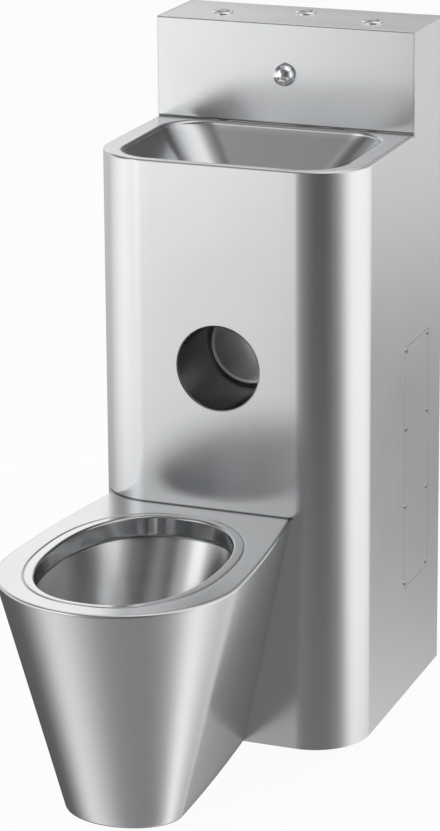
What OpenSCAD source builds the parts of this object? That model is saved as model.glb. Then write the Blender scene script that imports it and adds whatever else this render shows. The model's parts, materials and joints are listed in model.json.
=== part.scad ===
// Toilet and basin combination unit in satin stainless sheet.
// A floor-standing pan stands in front of a cabinet with a basin, an upstand
// with a spout, and three push buttons on the shelf of the upstand.
// The wall is the plane y = 0, the floor is z = 0, and the front looks to -Y.

/* [Cabinet] */
// Width of the cabinet
cabinet_w = 400; // [390:1:440]
// Depth of the cabinet from the wall to its front
cabinet_d = 414; // [408:1:460]
// Height of the basin rim above the floor
rim_h = 856; // [835:1:880]
// Height of the upstand above the basin rim
upstand_h = 150; // [142:1:190]
// Depth of the upstand and its shelf
upstand_d = 139; // [132:1:142]
// Outer radius of the two front corners
corner_r = 85; // [70:1:95]
// Thickness of the casing sheet
sheet = 1.5; // [1:0.1:2]
// Width of the flanges that lie on the wall and on the floor
flange_w = 32; // [28:1:38]
// Leg of the two angle rails at the wall
rail_leg = 30; // [20:1:36]
// Thickness of the angle rails
rail_t = 3; // [2:0.5:5]
// Radius of each fixing hole
fixing_r = 4.5; // [3:0.5:6]
// Height of the lower pair of wall fixings
fixing_low = 90; // [60:5:120]
// Drop of the upper pair of wall fixings below the shelf
fixing_drop = 80; // [60:5:110]
// Distance of the rear floor fixings from the wall
foot_fixing_back = 60; // [45:5:80]
// Spacing of the floor fixings along each side
foot_fixing_run = 220; // [180:5:240]

/* [Basin] */
// Width of the bowl opening
bowl_w = 334; // [310:1:340]
// Front-to-back length of the bowl opening
bowl_l = 250; // [235:1:260]
// Flat rim between the bowl opening and the front
bowl_rim = 16; // [12:1:20]
// Corner radius of the bowl opening
bowl_r = 60; // [45:1:70]
// Depth of the bowl
bowl_depth = 122; // [100:1:130]
// Width of the flat bowl floor
bowl_floor_w = 146; // [130:1:160]
// Length of the flat bowl floor
bowl_floor_l = 96; // [86:1:110]
// Radius between the bowl wall and its floor
bowl_edge_r = 22; // [15:1:28]
// Flat floor left between the strainer and the rise of the bowl wall
drain_margin = 0.5; // [0.3:0.1:4]
// Reach of the deck under the upstand
deck_lip = 15; // [8:1:20]

/* [Basin waste] */
// Outer radius of the drain tail
tail_r = 22; // [18:0.5:24]
// Length of the drain tail below the bowl floor
tail_l = 56; // [50:1:60]
// Outer radius of the strainer flange
strainer_r = 28; // [27:0.5:32]
// Radius of the holes in the strainer
strainer_hole_r = 2.5; // [1.5:0.5:3]
// Thickness of the rubber washer under the bowl
washer_t = 3; // [2:0.5:4]
// Height of the drain nut
drain_nut_h = 8; // [6:1:10]
// Outer radius of the bottle trap
trap_r = 30; // [28:0.5:33]
// Wall of the bottle trap
trap_wall = 3; // [2:0.5:4]
// Height of the upper trap body
trap_body_h = 62; // [56:1:70]
// Height of the cup under the trap body
trap_cup_h = 50; // [40:1:60]
// Outer radius of the waste pipe of the basin
drain_pipe_r = 16; // [14:0.5:17]
// Bend radius of the waste pipe of the basin
drain_bend = 35; // [32:1:40]
// Sideways offset of that pipe where it meets the wall
drain_pipe_x = 80; // [76:1:84]

/* [Roll recess] */
// Inner diameter of the paper roll recess
roll_d = 122; // [110:1:126]
// Depth of the recess behind the front
roll_depth = 128; // [110:1:132]
// Height of the middle of the recess
roll_h = 561; // [540:1:575]
// Width of the flange of the recess behind the front
roll_flange = 12; // [8:1:16]

/* [Pan] */
// Height of the top of the pan
pan_h = 350; // [345:1:370]
// Offset of the pan axis from the cabinet middle
pan_x = -36; // [-40:1:-20]
// Half the width of the pan top where it meets the cabinet
pan_root = 145; // [130:1:148]
// Half the greatest width of the pan top
pan_half = 172; // [168:1:182]
// Distance of the widest line of the pan top from the cabinet
pan_reach = 275; // [260:1:285]
// Length of the round nose of the pan top
pan_nose = 169; // [158:1:175]
// Half the width of the pan foot at the cabinet
foot_root = 72; // [64:1:80]
// Half the greatest width of the pan foot
foot_half = 85; // [78:1:90]
// Distance of the widest line of the pan foot from the cabinet
foot_reach = 272; // [240:1:285]
// Length of the round nose of the pan foot
foot_nose = 64; // [50:1:80]
// Fullness of the pan sides, above 1
pan_curve = 1.7; // [1.5:0.1:2]
// Half the width of the pan opening
mouth_half = 121.5; // [116:0.5:124]
// Half the length of the pan opening
mouth_len = 175.5; // [170:0.5:178]
// Distance of the middle of the opening from the cabinet
mouth_reach = 225; // [222:1:230]
// Fullness of the ovals of the opening, 2 is an ellipse
mouth_curve = 2.3; // [2:0.1:2.6]
// Width of the flat ring round the opening, sideways
ring_w = 16; // [14:0.5:18]
// Width of the flat ring at the front and the back
ring_l = 11.5; // [10:0.5:13]
// Height of the weld between the bowl and its sump
sump_top = 140; // [130:1:160]
// Height of the polished skirt below the pan top
skirt_h = 28; // [24:1:32]
// Height of the flush channel below the pan top
channel_h = 35; // [33:1:40]

/* [Pan waste and flush] */
// Outer radius of the pan trap pipe
bend_r = 45; // [38:1:45]
// Height of the trap inlet at the foot of the bowl
bend_low = 75; // [70:1:78]
// Height of the horizontal outlet above the floor
outlet_h = 220; // [214:1:230]
// Bend radius of the trap pipe along its middle
bend_turn = 50; // [48:1:52]
// Outer radius of the waste pipe of the pan
waste_r = 51; // [50:0.5:55]
// Wall of the waste and trap pipes
pipe_wall = 2; // [1.5:0.5:3]
// Length of the rubber lip seal on the trap outlet
seal_l = 20; // [14:1:26]
// Outer radius of the flush pipe
flush_r = 14; // [12:0.5:15]
// Bend radius of the flush pipe
flush_bend = 42; // [36:1:50]

/* [Buttons and valves] */
// Distance of the two tap buttons from the middle
tap_x = 117; // [112:1:122]
// Distance of the tap buttons from the wall
tap_y = 84; // [80:1:88]
// Distance of the flush button from the wall
flush_y = 45; // [42:1:47]
// Radius of each button
cap_r = 10.5; // [9:0.5:11]
// Height of the dome on each button
cap_dome = 4; // [3:0.5:5]
// Travel of each button when pressed
travel = 5; // [3:0.5:5.5]
// Outer radius of the threaded valve neck
neck_r = 12.5; // [12.5:0.5:13.5]
// Outer radius of the ring round each button
bezel_r = 15.5; // [15:0.5:18]
// Height of that ring on the shelf
bezel_h = 2.5; // [2:0.5:3.5]
// Height of the locknut under the shelf
locknut_h = 6; // [5:0.5:8]
// Depth of the spring chamber below the shelf top
chamber_d = 27; // [25:1:32]
// Radius of the stem under each button
stem_r = 4; // [3:0.5:5]
// Radius of the wire of the return springs
wire_r = 0.7; // [0.5:0.1:0.9]
// Number of turns of the return springs
spring_turns = 6; // [4:1:7]
// Radius of the two tap valve bodies
tap_body_r = 17; // [16:0.5:19]
// Length of the tap valve bodies below the outlet to the spout
tap_foot = 20; // [18:1:30]
// Radius of the flush valve body
flush_body_r = 22; // [20:0.5:24]
// Length of the flush valve body below the shelf
flush_body_l = 120; // [115:1:130]
// Drop of the flush valve inlet below the shelf
flush_port = 93; // [88:1:96]

/* [Spout] */
// Radius of the spout dome
spout_r = 17.5; // [15:0.5:20]
// Reach of the dome from the upstand
spout_reach = 16; // [12:0.5:17]
// Height of the spout above the basin rim
spout_up = 75; // [70:1:80]
// Radius of the threaded shank behind the dome
shank_r = 10; // [8:0.5:11]
// Radius of the water way in the spout
spout_bore = 5; // [4:0.5:6]
// Radius of the tee behind the spout
tee_r = 11; // [10:0.5:12]
// Half the length of the tee
tee_half = 25; // [22:1:30]
// Outer radius of the two pipes that feed the tee
link_r = 6; // [5:0.5:7]

/* [Supply] */
// Outer radius of the hot and cold pipes
tap_pipe_r = 7.5; // [6:0.5:9]
// Outer radius of the supply pipe of the flush valve
main_pipe_r = 11; // [9:0.5:12.5]
// Bend radius of the supply pipes
supply_bend = 25; // [22:1:28]
// Height of the stop valves above the floor
stop_h = 545; // [520:1:555]
// Half the length of a stop valve body
stop_half = 26; // [24:1:30]
// Length of the lever of a stop valve
lever_l = 55; // [40:1:60]
// Width of the lever
lever_w = 12; // [9:1:14]
// Thickness of the lever
lever_t = 3; // [2:0.5:4]
// Height at which the supply pipes meet the wall
inlet_h = 470; // [450:1:480]

/* [Service hatch] */
// Width of the hatch in the right side
hatch_w = 115; // [105:1:125]
// Height of the hatch
hatch_l = 375; // [340:1:390]
// Distance of the hatch from the wall
hatch_back = 60; // [50:1:70]
// Height of the lower edge of the hatch
hatch_low = 170; // [150:1:190]
// Gap round the hatch cover
hatch_gap = 0.6; // [0.3:0.1:1]
// Width of the frame bar behind the edge of the hatch
hatch_bar = 14; // [12:1:18]
// Thickness of the hatch frame
hatch_frame_t = 3; // [2:0.5:4]
// Radius of the screw shanks
screw_r = 2; // [1.5:0.1:2.5]
// Radius of the low screw heads
screw_head_r = 3.8; // [3.3:0.1:4.5]
// Height of the screw heads
screw_head_h = 1.2; // [0.8:0.1:1.6]
// Number of screws along each long edge
screw_rows = 4; // [3:1:5]

/* [Hidden] */
$fn = 96;

// Finishes
steel = [0.74, 0.75, 0.76];
steel_inner = [0.62, 0.64, 0.66];
polished = [0.82, 0.83, 0.85];
chrome = [0.88, 0.89, 0.91];
brass = [0.78, 0.66, 0.38];
copper = [0.78, 0.52, 0.40];
rubber = [0.13, 0.13, 0.14];
plastic = [0.90, 0.90, 0.88];
lever_red = [0.72, 0.12, 0.10];
lever_blue = [0.12, 0.28, 0.62];

// Fits
cut = 1;
slide_gap = 0.08;
socket_gap = 0.05;
seam = 0.3;
ball_gap = 0.3;
ply = 0.01;

// Casing
shelf_h = rim_h + upstand_h;
deck_under = rim_h - sheet;
shelf_under = shelf_h - sheet;
splash_back = upstand_d - sheet;
inner_w = cabinet_w - 2 * sheet;
fixing_x = cabinet_w / 2 - flange_w / 2;

// Basin
bowl_y = -(cabinet_d - bowl_rim - bowl_l / 2);
bowl_floor = rim_h - bowl_depth;
bowl_under = bowl_floor - sheet;
drain_y = bowl_y + bowl_floor_l / 2 - strainer_r - drain_margin;
strainer_t = 2;
tail_end = bowl_floor - tail_l;
tail_wall = 2.5;
collar_in = 28;
collar_r = tail_r + 4;
trap_top = tail_end;
trap_join = trap_top - trap_body_h;
trap_bottom = trap_join - trap_cup_h;
trap_port = trap_top - 24;
port_r = drain_pipe_r + 4;
port_end = trap_r + 14;
pipe_in = 10;

// Pan
channel_low = pan_h - channel_h;
ring_half = mouth_half + ring_w;
ring_len = mouth_len + ring_l;
channel_half = ring_half + 3;
channel_len = ring_len + 3;
top_under = pan_h - sheet;
bend_rise = outlet_h - bend_low;
bend_leg = 54;
outlet_run = 38;
flush_h = (channel_low + top_under) / 2;
flush_end_y = -(cabinet_d + mouth_reach - channel_len + 2);
sleeve_y = -(cabinet_d + 18);
boss_r = flush_r + 1.5;
sleeve_l = 8;
waste_front = cabinet_d - 10;

// Valves and buttons
neck_top = shelf_h + bezel_h - 0.5;
nut_r = neck_r + 6;
shoulder = shelf_under - locknut_h - 2;
chamber_floor = shelf_h - chamber_d;
cap_bottom = shelf_h - 6;
cap_top = shelf_h + 2;
stem_end = chamber_floor - 20;
spout_h = rim_h + spout_up;
tap_bottom = spout_h - tap_foot;
flush_bottom = shelf_h - flush_body_l;
flush_in = shelf_h - flush_port;
socket_d = 10;
main_port_l = 4;
main_port_x = flush_body_r + main_port_l;
main_pipe_x = main_port_x + supply_bend + 1;
spring_r = (stem_r + cap_r) / 2;

// Supply
boss_out = 7;
tap_stop_r = tap_pipe_r + 5.5;
main_stop_r = main_pipe_r + 5.5;
lever_hub_r = 8;
stop_stem_r = 4;

// Hatch
hatch_mid_y = -(hatch_back + hatch_w / 2);
hatch_mid_z = hatch_low + hatch_l / 2;
screw_inset = 7;
screw_pitch = (hatch_l - 2 * screw_inset) / (screw_rows - 1);
strainer_ring = [for (k = [0:5]) 60 * k];

// Plan of the casing: the wall at y = 0, both front corners round
module plan(w, d, r, past_wall = 0) {
    translate([-w / 2, -(d - r)]) square([w, d - r + past_wall]);
    translate([-(w / 2 - r), -d]) square([w - 2 * r, d + past_wall]);
    for (side = [-1, 1]) translate([side * (w / 2 - r), -(d - r)]) circle(r);
}

// Rectangle with round corners, centred
module round_plate(w, l, r) {
    square([w, l - 2 * r], center = true);
    square([w - 2 * r, l], center = true);
    for (sx = [-1, 1], sy = [-1, 1]) translate([sx * (w / 2 - r), sy * (l / 2 - r)]) circle(r);
}

// Full oval with half width a and half length b
function oval(a, b, n = 72) = [for (k = [0:n - 1]) let (t = 360 * k / n, c = cos(t), s = sin(t))
    [a * sign(c) * pow(abs(c), 2 / mouth_curve), b * sign(s) * pow(abs(s), 2 / mouth_curve)]];

// Half width of a pan outline at a distance s in front of the cabinet
function side_w(root, half, reach, s) = half - (half - root) * pow((reach - s) / reach, pan_curve);

// Pan outline: curved sides from behind the cabinet front to the widest line, then a round nose
function pan_outline(root, half, reach, nose, start = -30, steps = 14) =
    let (sides = [for (k = [0:steps]) start + (reach - start) * k / steps],
         right = [for (s = sides) [side_w(root, half, reach, s), -s]],
         front = [for (k = [1:2 * steps - 1]) let (t = 90 * k / steps)
                 [half * cos(t), -reach - nose * sin(t)]],
         left = [for (k = [steps:-1:0]) [-right[k][0], right[k][1]]])
    concat(right, front, left);

module along_y(y, l, r) translate([0, y, 0]) rotate([-90, 0, 0]) cylinder(r = r, h = l);
module along_x(x, l, r) translate([x, 0, 0]) rotate([0, 90, 0]) cylinder(r = r, h = l);
module tube_z(z, h, outer, inner) translate([0, 0, z]) difference() {
    cylinder(r = outer, h = h);
    translate([0, 0, -cut]) cylinder(r = inner, h = h + 2 * cut);
}

// Quarter bend of a tube in the plane YZ: from the origin up, then turning to +Y
module bend_up_back(turn, outer, inner) translate([0, turn, 0]) rotate([90, 0, -90])
    rotate_extrude(angle = 90) translate([turn, 0]) difference() {
        circle(outer);
        circle(inner);
    }
module tube_y(y, l, outer, inner) difference() {
    along_y(y, l, outer);
    along_y(y - cut, l + 2 * cut, inner);
}
module tube_x(x, l, outer, inner) difference() {
    along_x(x, l, outer);
    along_x(x - cut, l + 2 * cut, inner);
}

module at_pan() translate([pan_x, -cabinet_d, 0]) children();
module at_mouth() at_pan() translate([0, -mouth_reach, 0]) children();
module at_tap(side) translate([side * tap_x, -tap_y, 0]) children();
module at_flush() translate([0, -flush_y, 0]) children();
module at_main() translate([main_pipe_x, -flush_y, 0]) children();
module hatch_screw_places() for (side = [-1, 1], k = [0:screw_rows - 1])
    translate([cabinet_w / 2, hatch_mid_y + side * (hatch_w / 2 - screw_inset),
        hatch_low + screw_inset + k * screw_pitch]) rotate([0, 90, 0]) children();

module cabinet_shell() color(steel) difference() {
    union() {
        linear_extrude(deck_under) difference() {
            plan(cabinet_w, cabinet_d, corner_r);
            plan(inner_w, cabinet_d - sheet, corner_r - sheet, cut);
        }
        for (side = [-1, 1]) {
            translate([side * (cabinet_w - sheet) / 2 - sheet / 2, -splash_back, 0])
                cube([sheet, splash_back, shelf_under]);
            translate([side * fixing_x - flange_w / 2, -sheet, 0]) cube([flange_w, sheet, shelf_under]);
            translate([side * fixing_x - flange_w / 2, -(cabinet_d - corner_r), 0])
                cube([flange_w, cabinet_d - corner_r, sheet]);
        }
    }
    translate([0, 0, roll_h]) along_y(-cabinet_d - cut, sheet + 2 * cut, roll_d / 2);
    translate([pan_x, 0, outlet_h]) along_y(-cabinet_d - cut, sheet + 2 * cut, waste_r + 4);
    translate([0, 0, flush_h]) along_y(-cabinet_d - cut, sheet + 2 * cut, flush_r + 4);
    translate([cabinet_w / 2 - sheet - cut, hatch_mid_y - hatch_w / 2, hatch_low])
        cube([sheet + 2 * cut, hatch_w, hatch_l]);
    for (x = [-fixing_x, fixing_x], z = [fixing_low, shelf_h - fixing_drop])
        translate([x, 0, z]) along_y(-sheet - cut, sheet + 2 * cut, fixing_r);
    for (x = [-fixing_x, fixing_x], y = [foot_fixing_back, foot_fixing_back + foot_fixing_run])
        translate([x, -y, -cut]) cylinder(r = fixing_r, h = sheet + 2 * cut);
}

module splash_panel() color(steel) difference() {
    union() {
        translate([-cabinet_w / 2, -upstand_d, rim_h]) cube([cabinet_w, sheet, shelf_h - rim_h]);
        translate([-cabinet_w / 2, -upstand_d, shelf_under]) cube([cabinet_w, upstand_d, sheet]);
    }
    translate([0, 0, spout_h]) along_y(-upstand_d - cut, sheet + 2 * cut, shank_r + 0.3);
    for (side = [-1, 1]) at_tap(side) translate([0, 0, shelf_under - cut])
        cylinder(r = neck_r + 0.3, h = sheet + 2 * cut);
    at_flush() translate([0, 0, shelf_under - cut]) cylinder(r = neck_r + 0.3, h = sheet + 2 * cut);
}

// Height and growth of each layer of the bowl, from its floor up the round edge to the rim
bowl_steps = 4;
function bowl_z(k) = k > bowl_steps ? deck_under : bowl_floor + bowl_edge_r * (1 - cos(90 * k / bowl_steps));
module bowl_layer(k, g, top) {
    grow = 2 * (bowl_edge_r * sin(90 * k / bowl_steps) + g);
    if (k <= bowl_steps) translate([0, 0, bowl_z(k) - g]) linear_extrude(ply)
        round_plate(bowl_floor_w + grow, bowl_floor_l + grow, bowl_floor_l / 3 + grow / 2, $fn = 64);
    else translate([0, 0, k == bowl_steps + 1 ? deck_under : top]) linear_extrude(ply)
        round_plate(bowl_w + 2 * g, bowl_l + 2 * g, bowl_r + g, $fn = 64);
}
// Inside of the bowl grown by g on every side, layer by layer
module bowl_form(g, top) for (k = [0:bowl_steps + 1]) hull() {
    bowl_layer(k, g, top);
    bowl_layer(k + 1, g, top);
}

module basin() color(steel) difference() {
    union() {
        translate([0, 0, deck_under]) linear_extrude(sheet) {
            intersection() {
                plan(cabinet_w, cabinet_d, corner_r);
                translate([-cabinet_w / 2, -cabinet_d]) square([cabinet_w, cabinet_d - upstand_d]);
            }
            translate([-inner_w / 2 + seam, -upstand_d - cut]) square([inner_w - 2 * seam, deck_lip + cut]);
        }
        translate([0, bowl_y, 0]) bowl_form(sheet, deck_under);
    }
    translate([0, bowl_y, 0]) bowl_form(0, rim_h + cut);
    translate([0, drain_y, bowl_under - cut]) cylinder(r = tail_r + 0.5, h = sheet + 2 * cut);
}

module roll_recess() color(polished) translate([0, 0, roll_h]) {
    tube_y(-cabinet_d + sheet, roll_depth - sheet, roll_d / 2 + sheet, roll_d / 2);
    tube_y(-cabinet_d + sheet, sheet, roll_d / 2 + sheet + roll_flange, roll_d / 2 + sheet / 2);
    along_y(-cabinet_d + roll_depth, sheet, roll_d / 2 + sheet);
}

// Angle rail between the wall flanges, one leg on the wall, the flat leg as given
module angle_rail(flat_leg) rotate([90, 0, 90]) linear_extrude(cabinet_w - 2 * flange_w)
    polygon([[0, 0], [-flat_leg, 0], [-flat_leg, rail_t], [-rail_t, rail_t], [-rail_t, rail_leg], [0, rail_leg]]);
module lower_rail() color(steel_inner) translate([-cabinet_w / 2 + flange_w, 0, 0]) angle_rail(rail_leg);
module upper_rail() color(steel_inner) translate([-cabinet_w / 2 + flange_w, 0, shelf_under])
    mirror([0, 0, 1]) angle_rail(flush_y - nut_r - 2);

module hatch_cover() color(steel) difference() {
    translate([cabinet_w / 2 - sheet, hatch_mid_y - hatch_w / 2 + hatch_gap, hatch_low + hatch_gap])
        cube([sheet, hatch_w - 2 * hatch_gap, hatch_l - 2 * hatch_gap]);
    hatch_screw_places() translate([0, 0, -sheet - cut]) cylinder(r = screw_r + 0.2, h = sheet + 2 * cut);
}

module hatch_frame() color(steel_inner) difference() {
    translate([cabinet_w / 2 - sheet - hatch_frame_t, hatch_mid_y - hatch_w / 2 - hatch_bar / 2,
        hatch_low - hatch_bar]) cube([hatch_frame_t, hatch_w + hatch_bar, hatch_l + 2 * hatch_bar]);
    translate([cabinet_w / 2 - sheet - hatch_frame_t - cut, hatch_mid_y - hatch_w / 2 + hatch_bar,
        hatch_low + hatch_bar])
        cube([hatch_frame_t + 2 * cut, hatch_w - 2 * hatch_bar, hatch_l - 2 * hatch_bar]);
    hatch_screw_places() translate([0, 0, -sheet - hatch_frame_t - cut])
        cylinder(r = screw_r + socket_gap, h = hatch_frame_t + 2 * cut);
}

module hatch_screws() color(chrome) hatch_screw_places() difference() {
    union() {
        cylinder(r = screw_head_r, h = screw_head_h);
        translate([0, 0, -sheet - hatch_frame_t]) cylinder(r = screw_r, h = sheet + hatch_frame_t + cut / 2);
    }
    translate([0, 0, screw_head_h / 2]) cylinder(r = screw_head_r / 2.4, h = screw_head_h, $fn = 6);
}

// Solid of the casing, used to trim what stands against its front
module casing_cutter(low, high) translate([0, 0, low]) linear_extrude(high - low)
    plan(cabinet_w + 2 * seam, cabinet_d + seam, corner_r + seam);

// Pan skirt as a straight loft between the two outlines, drawn in by g
module shroud_form(g, low, high) hull() {
    translate([0, 0, high]) linear_extrude(ply)
        polygon(pan_outline(pan_root - g, pan_half - g, pan_reach, pan_nose - g));
    translate([0, 0, low]) linear_extrude(ply)
        polygon(pan_outline(foot_root - g, foot_half - g, foot_reach, foot_nose - g));
}

module pan_shroud() color(steel) difference() {
    at_pan() difference() {
        union() {
            difference() {
                shroud_form(0, 0, top_under - ply);
                translate([0, 0, -ply]) shroud_form(sheet, 0, top_under + ply);
            }
            linear_extrude(sheet) difference() {
                polygon(pan_outline(foot_root - 1, foot_half - 1, foot_reach, foot_nose - 1));
                polygon(pan_outline(foot_root - 22, foot_half - 22, foot_reach, foot_nose - 22, -40));
            }
        }
        for (side = [-1, 1]) translate([side * (foot_half - 13), -foot_reach * 0.75, -cut])
            cylinder(r = fixing_r, h = sheet + 2 * cut);
    }
    casing_cutter(-cut, pan_h);
}

module pan_top() color(steel) difference() {
    translate([0, 0, top_under]) linear_extrude(sheet) difference() {
        translate([pan_x, -cabinet_d]) polygon(pan_outline(pan_root, pan_half, pan_reach, pan_nose));
        translate([pan_x, -cabinet_d - mouth_reach]) polygon(oval(ring_half + seam / 2, ring_len + seam / 2));
    }
    casing_cutter(top_under - cut, pan_h + cut);
}

module rim_ring() color(polished) at_mouth() {
    translate([0, 0, top_under]) linear_extrude(sheet) difference() {
        polygon(oval(ring_half, ring_len));
        polygon(oval(mouth_half + sheet / 2, mouth_len + sheet / 2));
    }
    translate([0, 0, pan_h - skirt_h]) linear_extrude(skirt_h) difference() {
        polygon(oval(mouth_half + sheet, mouth_len + sheet));
        polygon(oval(mouth_half, mouth_len));
    }
}

module flush_channel() color(steel_inner) difference() {
    union() {
        at_mouth() {
            translate([0, 0, channel_low]) linear_extrude(channel_h - sheet) difference() {
                polygon(oval(channel_half, channel_len));
                polygon(oval(channel_half - sheet, channel_len - sheet));
            }
            translate([0, 0, top_under - sheet]) linear_extrude(sheet) difference() {
                polygon(oval(channel_half - sheet / 2, channel_len - sheet / 2));
                polygon(oval(ring_half - 6, ring_len - 6));
            }
        }
        translate([0, 0, flush_h]) along_y(flush_end_y, sleeve_y - flush_end_y, boss_r);
    }
    translate([0, 0, flush_h]) along_y(flush_end_y - 8, sleeve_y - flush_end_y + 9, flush_r + socket_gap);
}

// Layers of the pan bowl: height, half width, half length, distance from the cabinet
bowl_layers = [[25, 42, 52, 187], [45, 50, 61, 192], [75, 60, 73, 200], [110, 72, 89, 211],
    [170, 96, 117, 229], [240, 118, 151, 231]];
module pan_layer(k, g, high) {
    if (k < len(bowl_layers)) {
        l = bowl_layers[k];
        translate([0, -l[3], l[0] - g]) linear_extrude(ply) polygon(oval(l[1] + g, l[2] + g, 48));
    } else translate([0, -mouth_reach, k == len(bowl_layers) ? channel_low : high]) linear_extrude(ply)
        polygon(oval(channel_half - 9 + g, channel_len - 4.5 + g, 48));
}
module pan_bowl_form(g, high) for (k = [0:len(bowl_layers)]) hull() {
    pan_layer(k, g, high);
    pan_layer(k + 1, g, high);
}

// Inside of the bowl, with the hole for the trap in its foot
module bowl_cutter() {
    pan_bowl_form(0, channel_low + cut);
    translate([0, 0, bend_low]) along_y(-bend_leg - bend_turn - 60, 60, bend_r + socket_gap);
}
module block(low, high) translate([-pan_half, -pan_reach - pan_nose, low])
    cube([2 * pan_half, pan_reach + pan_nose, high - low]);

// The bowl above the weld, and its sump below
module pan_bowl() color(steel_inner) at_pan() difference() {
    union() {
        pan_bowl_form(sheet, channel_low);
        translate([0, -mouth_reach, channel_low - sheet]) linear_extrude(sheet)
            polygon(oval(channel_half, channel_len));
    }
    bowl_cutter();
    block(-cut, sump_top);
}
module pan_sump() color(steel_inner) at_pan() difference() {
    pan_bowl_form(sheet, channel_low);
    bowl_cutter();
    block(sump_top - seam, pan_h);
}

// Trap of the pan: out of the bowl foot, up behind the bowl and back to the outlet
module pan_trap() color(steel_inner) at_pan() {
    inner = bend_r - pipe_wall;
    translate([0, 0, bend_low]) tube_y(-bend_leg - bend_turn - 30, 30, bend_r, inner);
    translate([0, -bend_leg, bend_low + bend_turn]) mirror([0, 0, 1]) mirror([0, 1, 0])
        bend_up_back(bend_turn, bend_r, inner);
    translate([0, -bend_leg, 0])
        tube_z(bend_low + bend_turn, bend_rise - 2 * bend_turn, bend_r, inner);
    translate([0, -bend_leg, outlet_h - bend_turn]) bend_up_back(bend_turn, bend_r, inner);
    translate([0, 0, outlet_h]) tube_y(-bend_leg + bend_turn, bend_leg - bend_turn + outlet_run, bend_r, inner);
}

module waste_pipe() color(steel_inner) translate([pan_x, 0, outlet_h])
    tube_y(-waste_front, waste_front, waste_r, waste_r - pipe_wall);
module waste_seal() color(rubber) translate([pan_x, 0, outlet_h])
    tube_y(-waste_front + 3, seal_l, waste_r - pipe_wall - socket_gap, bend_r + socket_gap);

module flush_pipe() color(chrome) {
    inner = flush_r - 1.2;
    at_flush() tube_z(flush_h + flush_bend, flush_bottom + socket_d - flush_h - flush_bend, flush_r, inner);
    translate([0, -flush_y, flush_h + flush_bend]) mirror([0, 1, 0]) mirror([0, 0, 1])
        bend_up_back(flush_bend, flush_r, inner);
    translate([0, 0, flush_h]) tube_y(flush_end_y + 2, -flush_y - flush_bend - flush_end_y - 2, flush_r, inner);
}
module flush_sleeve() color(rubber) translate([0, 0, flush_h])
    tube_y(sleeve_y, sleeve_l, boss_r, flush_r + socket_gap);

module strainer() color(polished) translate([0, drain_y, 0]) difference() {
    union() {
        translate([0, 0, bowl_floor]) cylinder(r = strainer_r, h = strainer_t);
        translate([0, 0, tail_end]) cylinder(r = tail_r, h = tail_l + strainer_t / 2);
    }
    translate([0, 0, tail_end - cut]) cylinder(r = tail_r - tail_wall, h = tail_l + cut);
    translate([0, 0, bowl_floor - cut]) {
        cylinder(r = strainer_hole_r, h = strainer_t + 2 * cut, $fn = 24);
        for (a = strainer_ring, out = [0.42, 0.75]) rotate(a + 70 * out) translate([out * tail_r, 0, 0])
            cylinder(r = strainer_hole_r, h = strainer_t + 2 * cut, $fn = 24);
    }
}
module drain_washer() color(rubber) translate([0, drain_y, 0])
    tube_z(bowl_under - washer_t, washer_t, strainer_r, tail_r + socket_gap);
module drain_nut() color(brass) translate([0, drain_y, bowl_under - washer_t - drain_nut_h]) difference() {
    cylinder(r = strainer_r + 3, h = drain_nut_h, $fn = 6);
    translate([0, 0, -cut]) cylinder(r = tail_r + socket_gap, h = drain_nut_h + 2 * cut);
}

module bottle_trap() color(chrome) translate([0, drain_y, 0]) difference() {
    union() {
        translate([0, 0, trap_join]) cylinder(r = trap_r, h = trap_body_h);
        translate([0, 0, trap_top - cut]) cylinder(r = collar_r, h = collar_in + cut);
        translate([0, 0, trap_port]) along_x(-port_end, port_end, port_r);
    }
    difference() {
        translate([0, 0, trap_join - cut]) cylinder(r = trap_r - trap_wall, h = trap_body_h - 2 * trap_wall + cut);
        translate([0, 0, trap_join - 2 * cut]) cylinder(r = tail_r - 2, h = trap_body_h);
    }
    translate([0, 0, trap_join - 2 * cut]) cylinder(r = tail_r - 4, h = trap_body_h + 4 * cut);
    translate([0, 0, trap_top]) cylinder(r = tail_r + socket_gap, h = collar_in + cut);
    difference() {
        translate([0, 0, trap_port]) along_x(-port_end - cut, port_end - tail_r + 2, drain_pipe_r + socket_gap);
        cylinder(r = tail_r - 2, h = rim_h);
    }
}
module trap_cup() color(chrome) translate([0, drain_y, 0]) difference() {
    translate([0, 0, trap_bottom]) cylinder(r = trap_r, h = trap_cup_h);
    translate([0, 0, trap_bottom + trap_wall]) cylinder(r = trap_r - trap_wall, h = trap_cup_h);
}
// Quarter bend in the plane XY: from the trap sideways, then back to the wall
module drain_pipe() color(plastic) translate([0, 0, trap_port]) {
    inner = drain_pipe_r - 2;
    turn_x = drain_pipe_x - drain_bend;
    translate([0, drain_y, 0]) tube_x(-turn_x, turn_x - port_end + pipe_in, drain_pipe_r, inner);
    translate([-turn_x, drain_y + drain_bend, 0]) rotate([0, 0, 180]) rotate_extrude(angle = 90)
        translate([drain_bend, 0]) difference() {
            circle(drain_pipe_r);
            circle(inner);
        }
    translate([-drain_pipe_x, 0, 0])
        tube_y(drain_y + drain_bend, -drain_y - drain_bend, drain_pipe_r, inner);
}

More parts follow.
